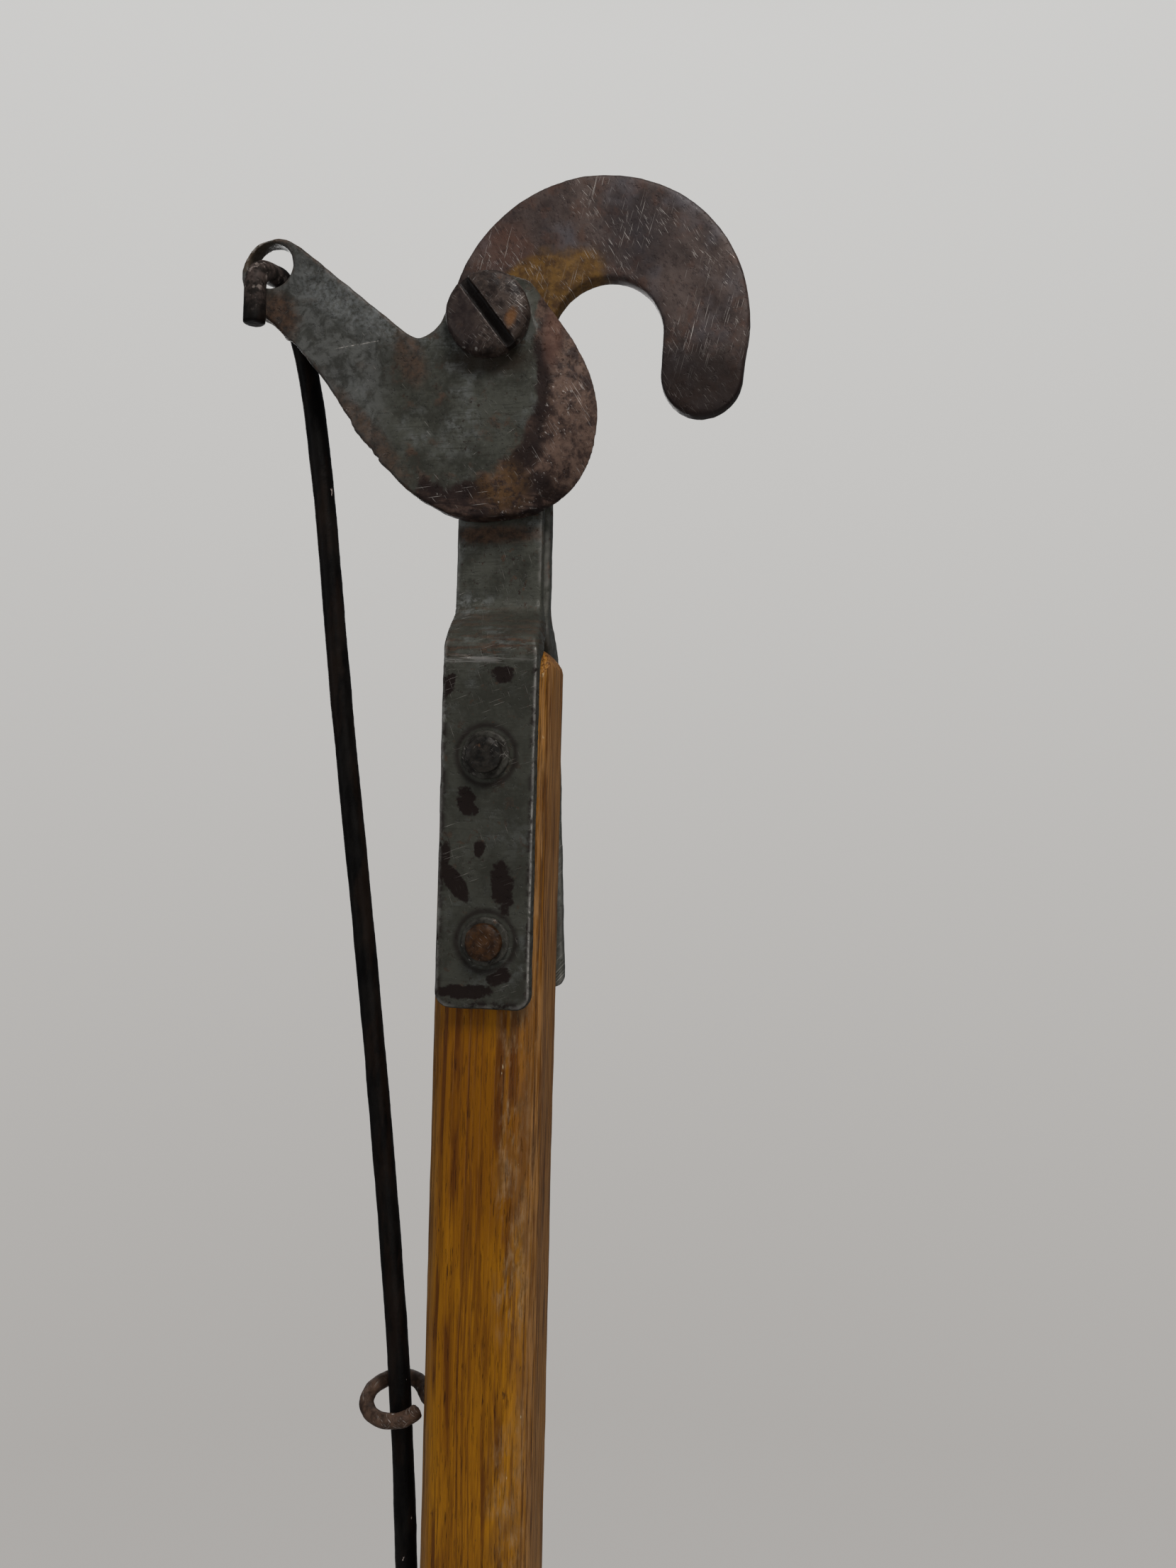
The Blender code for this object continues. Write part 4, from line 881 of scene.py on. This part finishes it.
def make_screw(finish):
    """The big slotted screw: a head domed ring by ring, its slot sawn in, a shank behind."""
    low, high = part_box("pivot_screw")
    head_r = (high.x - low.x) / 2
    head_h = 5.6 * MM
    shank_r = 6.0 * MM
    slot_w, slot_d, slot_turn = 3.1 * MM, 2.7 * MM, math.radians(SLOT_TURN)
    dome = 2.6 * MM             # how far the head rises above its straight rim
    bpy.ops.object.select_all(action="DESELECT")
    bpy.ops.mesh.primitive_cylinder_add(vertices=72, radius=head_r, depth=head_h - dome,
                                        rotation=(math.pi / 2, 0, 0),
                                        location=(pivot.x, low.y + (head_h + dome) / 2, pivot.z))
    screw = bpy.context.object
    screw.name = "slotted_screw"
    apply_place(screw)
    pick_faces(screw, lambda at, way: way.y < -0.9)
    edit(screw)
    bpy.ops.mesh.select_mode(type="FACE")
    rings = ((0.35, 0.95), (0.75, 0.75), (1.3, 0.5), (2.2, 0.28), (3.0, 0.12))
    for inward, forward in rings:
        bpy.ops.mesh.inset(thickness=inward * MM, depth=0.0)
        bpy.ops.transform.translate(value=(0, -forward * MM, 0))
    leave()
    pick_faces(screw, lambda at, way: way.y > 0.9)
    edit(screw)
    bpy.ops.mesh.inset(thickness=head_r - shank_r, depth=0.0)
    bpy.ops.mesh.extrude_region_move(TRANSFORM_OT_translate={"value": (0, high.y - low.y - head_h,
                                                                       0)})
    leave()
    bpy.ops.object.select_all(action="DESELECT")
    bpy.ops.mesh.primitive_cube_add(size=1.0, location=(pivot.x, low.y, pivot.z),
                                    rotation=(0, -slot_turn, 0),
                                    scale=(head_r * 3, slot_d * 2, slot_w))
    saw = bpy.context.object
    saw.hide_render = True
    modify(screw, "BOOLEAN", operation="DIFFERENCE", solver="EXACT", object=saw)
    bpy.data.objects.remove(saw)
    modify(screw, "BEVEL", width=0.3 * MM, segments=2, limit_method="ANGLE",
           angle_limit=math.radians(35))
    forge(screw, 0.28 * MM, [(5 * MM, 0.35 * MM), (1.4 * MM, 0.12 * MM)], relax=2)
    stand_for(screw, "pivot_screw", finish)


def main():
    set_camera()
    set_studio()
    worn_paint = make_back_paint()
    hook_finish = make_hook_finish()
    blade_finish = make_blade_finish()
    screw_iron = make_iron("dark screw iron", (0.047, 0.033, 0.027), (0.010, 0.006, 0.005), 0.42,
                           0.05, 0.0,
                           slot_turn=SLOT_TURN)
    rivet_iron = make_iron("dark rivet iron", (0.020, 0.017, 0.014), (0.004, 0.0034, 0.0028), 0.38,
                           0.1, 0.0)
    rusty_rivet = make_iron("rusty rivet", (0.038, 0.016, 0.005), (0.012, 0.005, 0.002), 0.42, 0.0,
                            0.0)
    burr_iron = make_iron("painted burr", (0.038, 0.036, 0.030), (0.012, 0.010, 0.008), 0.45, 0.1,
                          0.0)
    rust_iron = make_iron("brown rusted iron", (0.062, 0.036, 0.024), (0.020, 0.011, 0.007), 0.6,
                          0.0, 0.0)
    rod_iron = make_rod_finish()
    ash = make_wood("varnished ash", (0.0, 0.0, pivot.z))
    grip_ash = make_wood("grip ash", (0.012, 0.0, crank.z), grip=True)

    make_pole(ash)
    make_screw(screw_iron)
    flat_marks = [(11 * MM, 0.45 * MM), (2.6 * MM, 0.16 * MM)]
    worked = (
        ("hook_plate", "forged_hook_and_strap", 0.62, flat_marks, 3, hook_finish),
        ("back_strap", "rear_strap", 0.75, flat_marks, 3, worn_paint),
        ("blade_lever", "blade_and_arm", 0.5, [(9 * MM, 0.7 * MM), (2.4 * MM, 0.2 * MM)], 3,
         blade_finish),
        ("hand_lever", "crank_lever", 0.8, flat_marks, 3, worn_paint),
        ("strap_rivet_upper", "upper_strap_rivet", 0.3, [(3 * MM, 0.5 * MM)], 2, rivet_iron),
        ("strap_rivet_lower", "lower_strap_rivet", 0.3, [(3 * MM, 0.4 * MM)], 2, rusty_rivet),
        ("rivet_burr_upper", "upper_burr", 0.22, [(3 * MM, 0.2 * MM)], 2, burr_iron),
        ("rivet_burr_lower", "lower_burr", 0.22, [(3 * MM, 0.2 * MM)], 2, burr_iron),
        ("pivot_washer", "screw_washer", 0.3, [(4 * MM, 0.15 * MM)], 2, rust_iron),
        ("pivot_nut", "square_screw_nut", 0.35, [(5 * MM, 0.3 * MM)], 3, rust_iron),
        ("rod_guide_eye", "rod_screw_eye", 0.3, [(5 * MM, 0.5 * MM), (1.5 * MM, 0.12 * MM)], 3,
         rust_iron),
        ("pull_rod", "long_pull_rod", 0.45, [(14 * MM, 0.35 * MM), (3 * MM, 0.1 * MM)], 3,
         rod_iron),
        ("grip_scale_front", "front_grip_scale", 0.6, [(12 * MM, 0.5 * MM)], 4, grip_ash),
        ("grip_scale_back", "back_grip_scale", 0.6, [(12 * MM, 0.5 * MM)], 4, grip_ash),
        ("grip_rivet_upper", "upper_grip_rivet", 0.25, [(3 * MM, 0.2 * MM)], 2, rivet_iron),
        ("grip_rivet_lower", "lower_grip_rivet", 0.25, [(3 * MM, 0.2 * MM)], 2, rivet_iron),
        ("lever_bolt", "round_lever_bolt", 0.3, [(4 * MM, 0.3 * MM)], 2, rust_iron),
        ("lever_washer_front", "front_lever_washer", 0.3, [(4 * MM, 0.15 * MM)], 2, rust_iron),
        ("lever_spacer", "lever_spacing_washer", 0.3, [(4 * MM, 0.15 * MM)], 2, rust_iron),
        ("lever_washer_back", "back_lever_washer", 0.3, [(4 * MM, 0.15 * MM)], 2, rust_iron),
        ("lever_nut", "square_lever_nut", 0.3, [(4 * MM, 0.3 * MM)], 3, rust_iron),
    )
    for node, name, grain, marks, relax, finish in worked:
        piece = forge(blank_from(node, name), grain * MM, marks, relax)
        if node == "blade_lever":
            batter(piece, *BATTERED_EDGE, 4 * MM, 4.5 * MM, 1.7 * MM)
        stand_for(piece, node, finish)


main()
